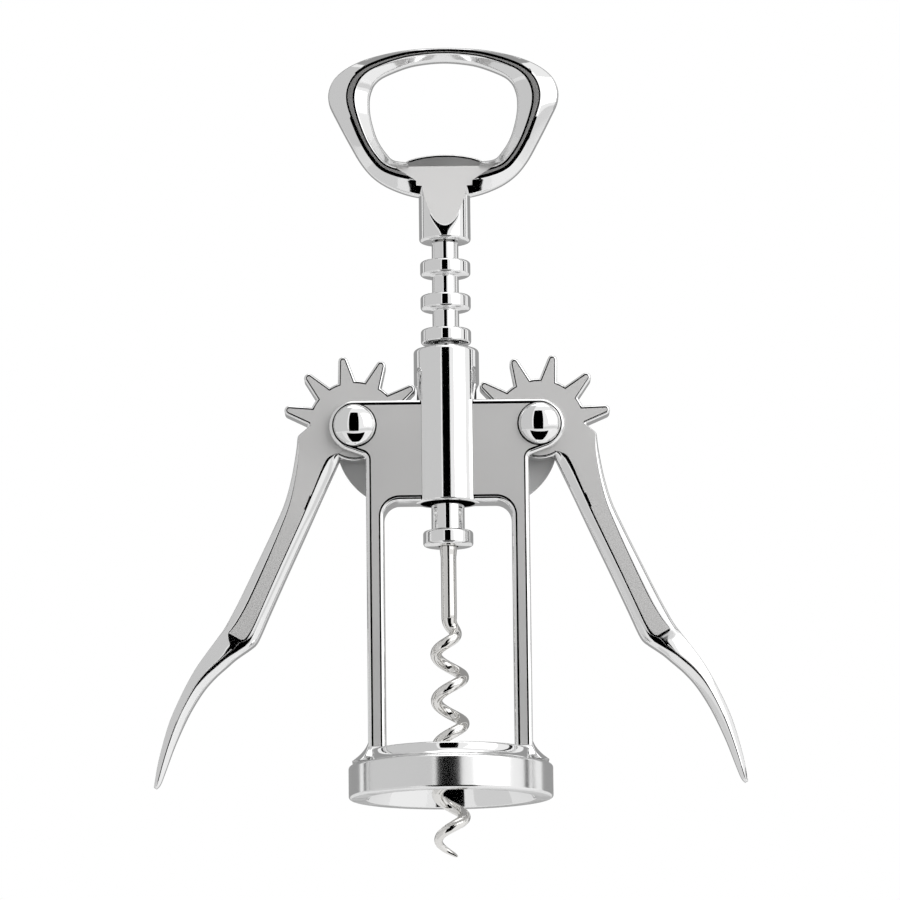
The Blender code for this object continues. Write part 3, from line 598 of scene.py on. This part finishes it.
class CORKSCREW_OT_frame(Operator):
    """Models the frame casting: bell, legs, cheek plates and barrel"""

    bl_idname = "corkscrew.frame"
    bl_label = "Frame casting"

    def execute(self, context):
        sizes = context.scene.corkscrew_sizes
        depth = sizes.frame_depth / 2
        pivot = sizes.pivot_height
        edge = sizes.edge_round
        body = turned("frame_casting_chrome", bell_profile(sizes), steps=192)
        cheeks = []
        for name, at_front, face in (("front cheeks", True, -depth), ("back cheeks", False, depth)):
            inside = PLATE_OVERLAP if at_front else -PLATE_OVERLAP
            cheeks.append(
                plate(name, ear_outline(sizes, at_front), face, inside, edge, ("front",), 5, roll=PLATE_ROLL)
            )
        feet = [lofted("foot", foot_sections(side, sizes)) for side in (-1, 1)]
        radius = sizes.barrel_radius
        top, bottom = pivot + BARREL_RISE, pivot - BARREL_DROP
        line = rounded([(0, top), (radius, top), (radius, bottom), (0, bottom)], [0, 0.0009, 0.0005, 0], 7)
        barrel = turned("barrel", line, steps=160)
        aprons = []
        for side in (-1, 1):
            for facing in (-1, 1):
                outline = [(side * across, -facing * along) for across, along in barrel_apron(sizes)]
                aprons.append(plate("apron", outline, bottom + 0.0002, pivot + 0.0054, up="plan"))
        combine(body, cheeks + [barrel] + feet + aprons, "UNION")
        half_slot = sizes.slot_depth / 2
        cuts = []
        seat = depth - RIVET_SEAT_DEPTH
        hole = [(0, 0.008), (RIVET_SEAT, 0.008), (RIVET_SEAT, seat), (RIVET_HOLE, seat), (RIVET_HOLE, -0.008)]
        for side in (-1, 1):
            centre = (side * sizes.pivot_across, 0, pivot)
            cuts.append(turned("rivet hole", hole + [(0, -0.008)], centre, forward=True, steps=96))
        for side in (-1, 1):
            slot = arc((side * sizes.pivot_across, pivot), SLOT_RADIUS, 1.3, 358.8, 110)
            cuts.append(plate("slot", slot, -half_slot, half_slot))
        high, low = top + CLEAR, bottom - CLEAR
        cuts.append(turned("bore", [(0, high), (BORE_RADIUS, high), (BORE_RADIUS, low), (0, low)]))
        combine(body, cuts, "DIFFERENCE")
        finish_piece(
            body, "frame", "frame_casting",
            finish("bright_chrome_on_zinc_casting"), finish("satin_chrome_on_ground_flats"), levels=(depth,),
        )
        body.data.materials.append(finish("matte_chrome_inside_slot"))
        body.data.materials.append(finish("buffed_chrome_on_bell_band"))
        for face in body.data.polygons:
            out = math.hypot(face.center.x, face.center.y)
            if abs(face.normal.y) > FLAT_COSINE and abs(abs(face.center.y) - half_slot) < FLAT_PLAY:
                face.material_index = 2
            elif face.center.z < BELL_BAND + 0.0001 and out > sizes.bell_radius - 0.0007:
                face.material_index = 3
        return {"FINISHED"}


class CORKSCREW_OT_rivets(Operator):
    """Models the two domed pivot rivets"""

    bl_idname = "corkscrew.rivets"
    bl_label = "Pivot rivets"

    def execute(self, context):
        sizes = context.scene.corkscrew_sizes
        head, shank, tail = 0.0046, 0.0025, 0.0039
        seat = sizes.frame_depth / 2 - 0.0001
        back = -sizes.frame_depth / 2 - 0.0003
        profile = [(0, seat + 0.0027)]
        for step in range(1, 25):
            angle = math.radians(90) * step / 24
            profile.append((head * math.sin(angle), seat + 0.0005 + 0.0022 * math.cos(angle)))
        profile += [(head, seat), (shank, seat), (shank, back), (tail, back), (tail, back - 0.0004)]
        for degrees in (15, 30, 45, 60, 75):
            angle = math.radians(degrees)
            profile.append((tail * math.cos(angle), back - 0.0004 - 0.0007 * math.sin(angle)))
        profile.append((0, back - 0.0011))
        for word, side in (("left", -1), ("right", 1)):
            centre = (side * sizes.pivot_across, 0, sizes.pivot_height)
            rivet = turned(f"pivot_rivet_{word}_chrome", profile, centre, forward=True, steps=96)
            bright = finish("bright_chrome_on_turned_steel")
            finish_piece(rivet, "frame", f"pivot_rivet_{word}", bright)
        return {"FINISHED"}


# Levers

TOOTH_ANGLE = 360.0 / 11
# How far the tooth in the rack stands above level
TOOTH_RISES = (("left", -1, 1.2), ("right", 1, 3.6))
ROOT_RADIUS = 0.0104
TIP_RADIUS = 0.0159
HUB_ARCH = 0.0074
LEVER_PLAY = 0.0003
LEVER_ROLL = (0.00022, 0.000010)
LEVER_REACH = 0.0904
LEVER_SPREAD = math.radians(29.15)
ARM_WIDTH = 0.0080
ARM_DEPTH = 0.0036
# Arm stations, root to tip: reach, inner and outer edge, height of the front, share of the width that the
# inner and the outer bevel take, and height of the back
ARM_STATIONS = (
    (0.046, -0.04, 1.10, 0.7545, 0.02, 0.03, 0.74),
    (0.070, -0.05, 1.20, 0.7545, 0.03, 0.03, 0.74),
    (0.083, -0.06, 1.25, 0.7545, 0.16, 0.03, 0.74),
    (0.093, -0.07, 1.22, 0.7545, 0.24, 0.04, 0.74),
    (0.105, -0.08, 1.16, 0.7545, 0.29, 0.06, 0.74),
    (0.130, -0.10, 1.05, 0.7570, 0.32, 0.10, 0.75),
    (0.188, -0.15, 0.83, 0.80, 0.34, 0.15, 0.75),
    (0.249, -0.21, 0.67, 0.86, 0.35, 0.21, 0.75),
    (0.313, -0.27, 0.60, 0.91, 0.35, 0.26, 0.75),
    (0.394, -0.34, 0.54, 0.95, 0.34, 0.31, 0.75),
    (0.497, -0.44, 0.47, 1.00, 0.32, 0.33, 0.75),
    (0.553, -0.50, 0.45, 1.00, 0.32, 0.29, 0.75),
    (0.577, -0.50, 0.45, 1.00, 0.34, 0.25, 0.75),
    (0.592, -0.44, 0.46, 0.99, 0.36, 0.24, 0.75),
    (0.603, -0.38, 0.48, 0.955, 0.36, 0.36, 0.75),
    (0.617, -0.30, 0.50, 0.915, 0.33, 0.60, 0.74),
    (0.636, -0.20, 0.53, 0.90, 0.33, 0.64, 0.73),
    (0.656, -0.12, 0.56, 0.89, 0.36, 0.61, 0.72),
    (0.697, 0.04, 0.61, 0.88, 0.44, 0.53, 0.70),
    (0.741, 0.14, 0.62, 0.86, 0.50, 0.47, 0.66),
    (0.796, 0.17, 0.59, 0.82, 0.50, 0.47, 0.60),
    (0.846, 0.14, 0.53, 0.77, 0.49, 0.47, 0.54),
    (0.896, 0.08, 0.41, 0.69, 0.48, 0.47, 0.46),
    (0.946, -0.01, 0.26, 0.57, 0.48, 0.46, 0.38),
    (0.985, -0.07, 0.11, 0.43, 0.46, 0.44, 0.30),
    (1.000, -0.04, 0.05, 0.26, 0.44, 0.42, 0.18),
)
BEVEL_STEPS = (0.0, 0.02, 0.06, 0.13, 0.22, 0.33, 0.44, 0.55, 0.65, 0.74, 0.82, 0.90, 1.0)


# How an arm's bevel climbs: to the side's upper edge, round that edge, and on to the flat
BEVEL_SIDE = 0.56
BEVEL_CORNER = 0.10
BEVEL_SLOPE = 0.34
CORNER_SHARE = 0.06


def bevel_height(step, curve):
    """Height up an arm's bevel, from its side to its flat, as a share of the front's height."""
    corner = math.sqrt(max(0.0, 1 - (1 - min(step / CORNER_SHARE, 1.0)) ** 2))
    return BEVEL_SIDE + BEVEL_CORNER * corner + BEVEL_SLOPE * (1 - (1 - step) ** curve)


def arm_sections(side, pivot):
    along = Vector((math.sin(LEVER_SPREAD), -math.cos(LEVER_SPREAD)))
    outward = Vector((math.cos(LEVER_SPREAD), math.sin(LEVER_SPREAD)))
    sections = []
    for reach, inner, outer, front, near, far, back in spline(ARM_STATIONS, 5):
        left, width = inner * ARM_WIDTH, (outer - inner) * ARM_WIDTH
        crest, rear = front * ARM_DEPTH, back * ARM_DEPTH
        # The tail's two facets are nearly flat and meet in a ridge
        facet = eased((reach - 0.58) / 0.08)
        line = []
        for step in BEVEL_STEPS:
            line.append((left + near * step * width, -crest * bevel_height(step, 2.4 - 1.2 * facet)))
        for step in (0.25, 0.5, 0.75):
            line.append((left + (near + (1 - far - near) * step) * width, -crest))
        for step in reversed(BEVEL_STEPS):
            line.append((left + (1 - far * step) * width, -crest * bevel_height(step, 2.7 - 1.5 * facet)))
        edge = min(0.0010, width / 4)
        for middle, first in ((left + width - edge, 0), (left + edge, 90)):
            for bend in range(5):
                turn = math.radians(first + 22.5 * bend)
                line.append((middle + edge * math.cos(turn), rear - edge + edge * math.sin(turn)))
        section = []
        for across, depth in line:
            point = along * (reach * LEVER_REACH) + outward * across
            section.append((pivot[0] + side * point.x, depth, pivot[2] + point.y))
        sections.append(section)
    return sections


def head_outline(tooth_rise):
    """The gear head of the right lever: teeth from the outer side over the top to the rack."""
    root, tip, half_base, half_tip = ROOT_RADIUS, TIP_RADIUS, 0.00195, 0.00105
    points = []
    first = 180 - tooth_rise - 5 * TOOTH_ANGLE
    for number in range(7):
        angle = first + number * TOOTH_ANGLE
        turn = math.radians(angle)
        out = Vector((math.cos(turn), math.sin(turn)))
        across = Vector((-math.sin(turn), math.cos(turn)))
        foot = math.sqrt(root**2 - half_base**2)
        points += [tuple(out * foot - across * half_base)]
        for step in range(11):
            bend = math.radians(-80 + 160 * step / 10)
            reach = tip - half_tip + half_tip * math.cos(bend)
            points.append(tuple(out * reach + across * half_tip * math.sin(bend)))
        points.append(tuple(out * foot + across * half_base))
        if number < 6:
            points += arc((0, 0), root, angle + 13, angle + TOOTH_ANGLE - 13, 2)
    last = angle + TOOTH_ANGLE / 2
    points += arc((0, 0), root, last, last + 10, 3)
    # The arm's inner bevel starts at the arch that the hub leaves here
    points += arc((0, 0), HUB_ARCH, last + 24, 313, 16)
    points += arc((0, 0), root, 321, 360 + first - TOOTH_ANGLE / 2, 10)
    return points


class CORKSCREW_OT_levers(Operator):
    """Models both levers with their gear heads and bevelled arms"""

    bl_idname = "corkscrew.levers"
    bl_label = "Levers"

    def execute(self, context):
        sizes = context.scene.corkscrew_sizes
        half = sizes.slot_depth / 2 - LEVER_PLAY
        for word, side, rise in TOOTH_RISES:
            pivot = (side * sizes.pivot_across, 0, sizes.pivot_height)
            outline = [(pivot[0] + side * across, pivot[2] + up) for across, up in head_outline(rise)]
            lever = plate(f"lever_{word}_chrome", outline, -half, half, 0.0004, roll=LEVER_ROLL)
            arm = lofted("arm", arm_sections(side, pivot))
            combine(lever, [arm], "UNION")
            line = [(0, 0.006), (RIVET_HOLE, 0.006), (RIVET_HOLE, -0.006), (0, -0.006)]
            combine(lever, [turned("hole", line, pivot, forward=True, steps=96)], "DIFFERENCE")
            finish_piece(
                lever, f"lever_{word}", f"lever_{word}",
                finish("bright_chrome_on_zinc_casting"), finish("satin_chrome_on_lever_faces"),
                square=0.9990,
            )
        return {"FINISHED"}


# Spindle

RING_HEIGHT = 0.0033
ROD_HOLE = 0.0022
# From the pivots up to the gap that the teeth lie in, and down to the rack's foot and the stop collar
MESH_RISE = 0.00116
SKIRT_DROP = 0.0058
STOP_DROP = 0.0230
STOP_HEIGHT = 0.0034
STOP_RADIUS = 0.0055
ROD_TOP = 0.1317
WORM_TIP = -0.0124
# Length of the ground point, and the height at which the wire passes straight to the right of the axis
GROUND_LENGTH = 0.0070
RIGHT_PASS = 0.0062

class CORKSCREW_OT_rack(Operator):
    """Models the ringed rack sleeve"""

    bl_idname = "corkscrew.rack"
    bl_label = "Rack sleeve"

    def execute(self, context):
        sizes = context.scene.corkscrew_sizes
        ring, neck, skirt, hole = 0.00555, 0.00295, 0.00365, ROD_HOLE
        top_ring = sizes.pivot_height + MESH_RISE + 4.5 * sizes.ring_pitch + 0.00165
        line = [(hole, top_ring + 0.0041), (neck, top_ring + 0.0041)]
        for number in range(7):
            top = top_ring - number * sizes.ring_pitch
            bottom = top - RING_HEIGHT
            below = skirt if number == 6 else neck
            corners = [(neck, top + 0.001), (neck, top), (ring, top)]
            corners += [(ring, bottom), (below, bottom), (below, bottom - 0.001)]
            line += rounded(corners, [0, 0.0004, 0.0007, 0.0007, 0.0004, 0], 6)[1:-1]
        foot = sizes.pivot_height - BARREL_DROP - SKIRT_DROP
        line += [(skirt, foot), (hole, foot), line[0]]
        rack = turned("rack_sleeve_chrome", line)
        finish_piece(rack, "rack", "rack_sleeve", finish("bright_chrome_on_turned_steel"))
        return {"FINISHED"}


class CORKSCREW_OT_stop(Operator):
    """Models the stop collar on the rod"""

    bl_idname = "corkscrew.stop"
    bl_label = "Stop collar"

    def execute(self, context):
        top = context.scene.corkscrew_sizes.pivot_height - STOP_DROP
        bottom, radius = top - STOP_HEIGHT, STOP_RADIUS
        corners = [(ROD_HOLE, top), (radius, top), (radius, bottom), (ROD_HOLE, bottom), (ROD_HOLE, top)]
        collar = turned("stop_collar_chrome", rounded(corners, [0, 0.0007, 0.0007, 0, 0], 7))
        finish_piece(collar, "screw", "stop_collar", finish("bright_chrome_on_turned_steel"))
        return {"FINISHED"}


def wire_sections(rows, count=20):
    """Round sections along a bent wire, each turned as little as it can be from the one before."""
    normal = Vector((1, 0, 0))
    sections = []
    for index, (place, radius) in enumerate(rows):
        before = rows[max(index - 1, 0)][0]
        after = rows[min(index + 1, len(rows) - 1)][0]
        tangent = (after - before).normalized()
        normal = (normal - tangent * normal.dot(tangent)).normalized()
        other = tangent.cross(normal)
        section = []
        for step in range(count):
            turn = math.tau * step / count
            section.append(tuple(place + (normal * math.cos(turn) + other * math.sin(turn)) * radius))
        sections.append(section)
    return sections


class CORKSCREW_OT_worm(Operator):
    """Models the rod and the open worm with its ground point"""

    bl_idname = "corkscrew.worm"
    bl_label = "Worm"

    def execute(self, context):
        sizes = context.scene.corkscrew_sizes
        stop = sizes.pivot_height - STOP_DROP - STOP_HEIGHT
        end, first_turn, tip = stop - 0.0152, stop - 0.0232, WORM_TIP
        shank, rod, wire, point = 0.0019, 0.0017, 0.00125, 0.0002
        rows = [(ROD_TOP, shank), (stop, shank), (stop - 0.0008, shank * 0.99)]
        rows += [(stop - 0.0016, 0.5 * (shank + rod)), (stop - 0.0024, rod)]
        rows += [(end + 0.002, rod), (end + 0.0006, rod)]
        rows = [(Vector((0, 0, height)), radius) for height, radius in rows]
        steps = round((end - tip) / sizes.worm_pitch * 44)
        for step in range(steps + 1):
            height = end - (end - tip) * step / steps
            turn = math.tau * (height - RIGHT_PASS) / sizes.worm_pitch
            opening = eased((end - height) / (end - first_turn))
            to_point = min(1.0, max(0.0, (height - tip) / GROUND_LENGTH))
            swing = sizes.worm_radius * opening * (0.94 + 0.06 * to_point)
            thick = rod + (wire - rod) * eased(1.6 * (end - height) / (end - first_turn))
            thick = point + (thick - point) * math.sqrt(to_point)
            rows.append((Vector((swing * math.cos(turn), swing * math.sin(turn), height)), thick))
        worm = lofted("worm_nickel", wire_sections(rows))
        finish_piece(worm, "screw", "worm", finish("nickel_on_drawn_wire"), smooth_deg=60.0)
        return {"FINISHED"}


# Handle

BOSS_FOOT = 0.12357
BOSS_RADIUS = 0.0057
FACET_TILT = 17.0
# The milled flat starts this far above the boss's foot, at the boss's own front
FACET_RISE = 0.0029
LOOP_FOOT = BOSS_FOOT + 0.0100
WINDOW_FOOT = BOSS_FOOT + 0.0181
LOOP_HEIGHT = 0.0340
WINDOW_HALF = 0.0164
WINDOW_HEIGHT = 0.0228
LOOP_OUTLINE = (
    (0.00, 1.000), (0.22, 0.994), (0.43, 0.974), (0.66, 0.931), (0.83, 0.873), (0.945, 0.800), (0.995, 0.715),
    (0.990, 0.630), (0.930, 0.530), (0.825, 0.375), (0.720, 0.235), (0.605, 0.135), (0.450, 0.062),
    (0.240, 0.010), (0.00, 0.000),
)
WINDOW_OUTLINE = (
    (0.00, 1.000), (0.27, 0.985), (0.50, 0.950), (0.79, 0.866), (0.91, 0.800), (0.965, 0.730), (0.997, 0.630),
    (0.990, 0.480), (0.945, 0.330), (0.885, 0.210), (0.790, 0.100), (0.680, 0.020), (0.480, 0.000),
    (0.240, 0.000), (0.00, 0.000),
)


# The loop's edge keeps its size all round: distance in from the outer side, and the half thickness there
LOOP_EDGE = (
    (0.0, 0.20), (0.00006, 0.32), (0.00017, 0.418), (0.00018, 0.424), (0.00044, 0.5037), (0.00046, 0.507),
)
NARROW_LOOP = 0.0034
LOOP_WIDENING = 0.0058


def loop_section(width):
    """Shares across the loop with the half thickness there: edge, slope, soft roll, crest, inner slope."""
    wide = min(max((width - NARROW_LOOP) / LOOP_WIDENING, 0.0), 1.0)
    start = 0.27 + 0.14 * wide
    crest = start + 0.18 - 0.115 * wide
    end = crest + 0.06 + 0.060 * wide
    inner = end + 0.09 - 0.040 * wide
    foot = 0.94
    high = 0.985 + 0.006 * wide
    line = [(across / width, height) for across, height in LOOP_EDGE]
    across, low = line[-1]
    for step in (0.3, 0.6, 0.85, 0.98):
        line.append((across + (start - across) * step, low + (high - 0.002 - low) * step))
    line += [(start, high), (start + 0.5 * (crest - start), 0.5 * (high + 1)), (crest, 1.0), (end, 1.0)]
    line += [(inner, 0.9925), (inner + 0.006, 0.990)]
    for step in (0.08, 0.2, 0.4, 0.65, 0.87, 1.0):
        line.append((inner + (foot - inner) * step, 0.990 - 0.49 * step))
    return line + [(0.968, 0.43), (0.988, 0.34), (1.000, 0.22)]


def loop_sections(sizes):
    half_width = sizes.loop_width / 2
    outer = [(across * half_width, LOOP_FOOT + up * LOOP_HEIGHT) for across, up in LOOP_OUTLINE]
    inner = [(across * WINDOW_HALF, WINDOW_FOOT + up * WINDOW_HEIGHT) for across, up in WINDOW_OUTLINE]
    outer, inner = (evenly(spline(mirrored(half), 8, closed=True), 176) for half in (outer, inner))
    sections = []
    for near, far in zip(outer, inner):
        front = []
        for share, height in loop_section((near - far).length):
            point = near.lerp(far, share)
            front.append((point.x, -height * sizes.loop_thickness / 2, point.y))
        sections.append(front + [(x, -y, z) for x, y, z in reversed(front)])
    return sections


def facet_cutter(facing):
    """The block that mills the flat across the loop's foot and the boss."""
    tilt = math.radians(FACET_TILT)
    shape = ((0.0127, 0.01474), (0.0062, 0.01060), (0.0062, -0.0046))
    points = []
    for across, rise in mirrored(shape):
        depth = facing * (-BOSS_RADIUS + rise * math.sin(tilt))
        points.append((across, depth, BOSS_FOOT + FACET_RISE + rise * math.cos(tilt)))
    block = drawn("facet", points, closed=True)
    bpy.ops.mesh.select_all(action="SELECT")
    bpy.ops.mesh.edge_face_add()
    push = (0, -facing * 0.006 * math.cos(tilt), 0.006 * math.sin(tilt))
    bpy.ops.mesh.extrude_region_move(TRANSFORM_OT_translate={"value": push})
    return close_up(block)


class CORKSCREW_OT_handle(Operator):
    """Models the loop handle with its boss, flats and cap-lifter lip"""

    bl_idname = "corkscrew.handle"
    bl_label = "Handle"

    def execute(self, context):
        sizes = context.scene.corkscrew_sizes
        handle = lofted("handle_chrome", loop_sections(sizes), ring=True)
        top = (LOOP_FOOT + WINDOW_FOOT) / 2
        line = [(0, top), (BOSS_RADIUS, top), (BOSS_RADIUS, BOSS_FOOT), (0, BOSS_FOOT)]
        boss = turned("boss", rounded(line, [0, 0.0007, 0.0007, 0], 6))
        lip = [(0, 0.0016), (0.0020, 0.00155), (0.0042, 0.0013), (0.0062, 0.0009), (0.0078, 0.0004)]
        lip += [(0.0085, 0.0), (0.0078, -0.0030)]
        lip = mirrored([(across, WINDOW_FOOT + up) for across, up in lip])
        lifter = plate("lifter", lip, -0.0013, 0.0013, 0.0003, rounds=3, roll=(0.0003, 0.000016))
        combine(handle, [boss, lifter], "UNION")
        deep, low = BOSS_FOOT + 0.0085, BOSS_FOOT - CLEAR
        ledge = mirrored([(0.0090, WINDOW_FOOT + 0.0008), (0.0078, WINDOW_FOOT - 0.0011)])
        cuts = [plate("ledge", ledge, facing * 0.00137, facing * 0.0060) for facing in (-1, 1)]
        cuts += [facet_cutter(1), facet_cutter(-1)]
        cuts.append(turned("socket", [(0, deep), (ROD_HOLE, deep), (ROD_HOLE, low), (0, low)], steps=64))
        combine(handle, cuts, "DIFFERENCE")
        finish_piece(
            handle, "screw", "handle",
            finish("bright_chrome_on_zinc_casting"), finish("satin_chrome_on_loop_crest"),
        )
        handle.data.materials.append(finish("satin_chrome_on_milled_facet"))
        tilt = math.cos(math.radians(FACET_TILT))
        for face in handle.data.polygons:
            tilted = abs(abs(face.normal.y) - tilt) < 0.002 and abs(face.normal.x) < 0.01
            if tilted and face.center.z < WINDOW_FOOT + 0.001:
                face.material_index = 2
        return {"FINISHED"}


# Stage

CAMERA_SENSOR = 36
CAMERA_LENS = 231
CAMERA_DISTANCE = 1.27
CAMERA_TILT = 9.7
CAMERA_ROLL = 0.65
CAMERA_TARGET = (0.0006, 0, 0.077)
FLOOR_SIZE = 8.0
FLOOR_HEIGHT = -0.30
FILL_STRENGTH = 0.85
STUDIO_MIDDLE = 0.08
# Flats seen only in the metal: name, azimuth, elevations, width in degrees, distance, colour, strength
CARDS = (
    ("black_flat_front", -2.5, (-32, 43), 27, 1.9, "#000000", 0.0),
    ("black_flat_low", 2.0, (-66, -17), 60, 0.36, "#000000", 0.0),
    ("white_flat_low_right", 82.0, (-62, -13), 66, 0.36, "#FFFFFF", 1.0),
    ("pale_flat_low_left", -80.0, (-62, -15), 66, 0.36, "#DCDCDC", 1.0),
    ("grey_flat_left", -66.0, (-14, 70), 92, 2.1, "#D4D4D4", 1.0),
    ("black_strip_left", -113.0, (-25, 60), 4, 1.9, "#000000", 0.0),
    ("black_strip_right", 94.5, (-25, 60), 7, 1.9, "#000000", 0.0),
    ("black_strip_far_right", 107.0, (-25, 60), 2.5, 1.9, "#202020", 1.0),
    ("grey_flat_back", 180.0, (-6, 62), 112, 1.9, "#A0A0A0", 1.0),
)
# Name, place, side, and light per area
LAMPS = (
    ("softbox_right", (1.15, -1.05, 0.75), 1.3, 1.3),
    ("softbox_top", (0.1, -0.1, 1.9), 1.2, 1.1),
)


def camera_place(distance, tilt_deg, roll_deg, target):
    tilt = math.radians(tilt_deg)
    place = Matrix.Translation(
        (target[0], target[1] - distance * math.cos(tilt), target[2] - distance * math.sin(tilt))
    )
    upright = Matrix.Rotation(math.radians(90) + tilt, 4, "X")
    return place @ upright @ Matrix.Rotation(math.radians(-roll_deg), 4, "Z")


def glow(name, colour, strength):
    material = bpy.data.materials.new(name)
    material.use_nodes = True
    tree = material.node_tree
    tree.nodes.clear()
    light = add_node(tree, "ShaderNodeEmission", values=[("Color", linear(colour)), ("Strength", strength)])
    add_node(tree, "ShaderNodeOutputMaterial", [("Surface", light.outputs["Emission"])])
    return material


def studio_card(name, azimuth, elevations, width, distance, colour, strength):
    """A curved flat seen only in the metal. Azimuth runs from the front towards +X, in degrees."""
    low, high = (math.radians(e) for e in elevations)
    half = math.radians(width) / 2
    steps = 8
    corners = []
    for level in range(steps + 1):
        lift = low + (high - low) * level / steps
        for turn in (-half, half):
            around = math.radians(azimuth) + turn
            flat = distance * math.cos(lift)
            height = STUDIO_MIDDLE + distance * math.sin(lift)
            corners.append((flat * math.sin(around), -flat * math.cos(around), height))
    clear_selection()
    bpy.ops.mesh.primitive_grid_add(x_subdivisions=1, y_subdivisions=steps, size=1.0, enter_editmode=True)
    card = named(name)
    shell = edit_mesh(card)
    ordered = sorted(shell.verts, key=lambda v: (round(v.co.y, 4), v.co.x))
    for vertex, corner in zip(ordered, corners):
        vertex.co = corner
    bmesh.update_edit_mesh(card.data)
    bpy.ops.object.mode_set(mode="OBJECT")
    card.data.materials.append(glow(f"{name} surface", colour, strength))
    card.visible_camera = False
    card.visible_diffuse = False
    card.visible_shadow = False
    return card


class CORKSCREW_OT_stage(Operator):
    """Sets up the camera, the pale floor, the soft light and the studio's dark flats"""

    bl_idname = "corkscrew.stage"
    bl_label = "Stage"

    def execute(self, context):
        scene = context.scene
        clear_selection()
        bpy.ops.object.camera_add()
        camera = context.object
        camera.name = "camera"
        camera.data.sensor_width = CAMERA_SENSOR
        camera.data.lens = CAMERA_LENS
        camera.data.clip_end = 20
        camera.matrix_world = camera_place(CAMERA_DISTANCE, CAMERA_TILT, CAMERA_ROLL, CAMERA_TARGET)
        scene.camera = camera
        scene.view_settings.view_transform = "Standard"

        bpy.ops.mesh.primitive_plane_add(size=FLOOR_SIZE, location=(0, 0, FLOOR_HEIGHT))
        floor = context.object
        floor.name = "floor"
        bpy.ops.object.transform_apply(location=True)
        paper = bpy.data.materials.new("pale_paper_floor")
        paper.use_nodes = True
        shader = paper.node_tree.nodes["Principled BSDF"]
        shader.inputs["Base Color"].default_value = (*scene.corkscrew_finish.floor, 1.0)
        shader.inputs["Roughness"].default_value = 0.9
        floor.data.materials.append(paper)

        world = bpy.data.worlds.new("white studio")
        scene.world = world
        world.use_nodes = True
        tree = world.node_tree
        tree.nodes.clear()
        path = add_node(tree, "ShaderNodeLightPath")
        seen = path.outputs["Is Camera Ray"]
        for ray in ("Is Glossy Ray", "Is Transmission Ray"):
            both = [(0, seen), (1, path.outputs[ray])]
            seen = add_node(tree, "ShaderNodeMath", both, operation="MAXIMUM").outputs[0]
        skies = []
        for strength in (FILL_STRENGTH, 1.0):
            values = [("Color", linear("#FFFFFF")), ("Strength", strength)]
            skies.append(add_node(tree, "ShaderNodeBackground", values=values).outputs["Background"])
        mix = add_node(tree, "ShaderNodeMixShader", [(0, seen), (1, skies[0]), (2, skies[1])])
        add_node(tree, "ShaderNodeOutputWorld", [("Surface", mix.outputs["Shader"])])

        for card in CARDS:
            studio_card(*card)
        for name, place, size, brightness in LAMPS:
            clear_selection()
            bpy.ops.object.light_add(type="AREA", location=place)
            lamp = context.object
            lamp.name = name
            lamp.data.shape = "SQUARE"
            lamp.data.size = size
            lamp.data.energy = brightness * math.pi * size * size
            aim = Vector((0, 0, STUDIO_MIDDLE)) - Vector(place)
            lamp.rotation_euler = aim.to_track_quat("-Z", "Y").to_euler()
        return {"FINISHED"}


class CORKSCREW_PT_panel(Panel):
    """Lists the corkscrew's pieces and its sizes"""

    bl_idname = "CORKSCREW_PT_panel"
    bl_label = "Winged corkscrew"
    bl_space_type = "VIEW_3D"
    bl_region_type = "UI"
    bl_category = "Corkscrew"

    def draw(self, context):
        layout = self.layout
        for group in (context.scene.corkscrew_sizes, context.scene.corkscrew_finish):
            for key in group.bl_rna.properties.keys():
                if key not in ("rna_type", "name"):
                    layout.prop(group, key)
        for operator in OPERATORS:
            layout.operator(operator.bl_idname)


OPERATORS = (
    CORKSCREW_OT_stage,
    CORKSCREW_OT_frame,
    CORKSCREW_OT_rivets,
    CORKSCREW_OT_levers,
    CORKSCREW_OT_rack,
    CORKSCREW_OT_stop,
    CORKSCREW_OT_worm,
    CORKSCREW_OT_handle,
)
CLASSES = (CorkscrewSizes, CorkscrewFinish, *OPERATORS, CORKSCREW_PT_panel)


def register():
    for item in CLASSES:
        bpy.utils.register_class(item)
    bpy.types.Scene.corkscrew_sizes = PointerProperty(type=CorkscrewSizes)
    bpy.types.Scene.corkscrew_finish = PointerProperty(type=CorkscrewFinish)


def unregister():
    del bpy.types.Scene.corkscrew_finish
    del bpy.types.Scene.corkscrew_sizes
    for item in reversed(CLASSES):
        bpy.utils.unregister_class(item)


def main():
    register()
    bpy.ops.corkscrew.stage()
    bpy.ops.corkscrew.frame()
    bpy.ops.corkscrew.rivets()
    bpy.ops.corkscrew.levers()
    bpy.ops.corkscrew.rack()
    bpy.ops.corkscrew.stop()
    bpy.ops.corkscrew.worm()
    bpy.ops.corkscrew.handle()


if __name__ == "__main__":
    main()
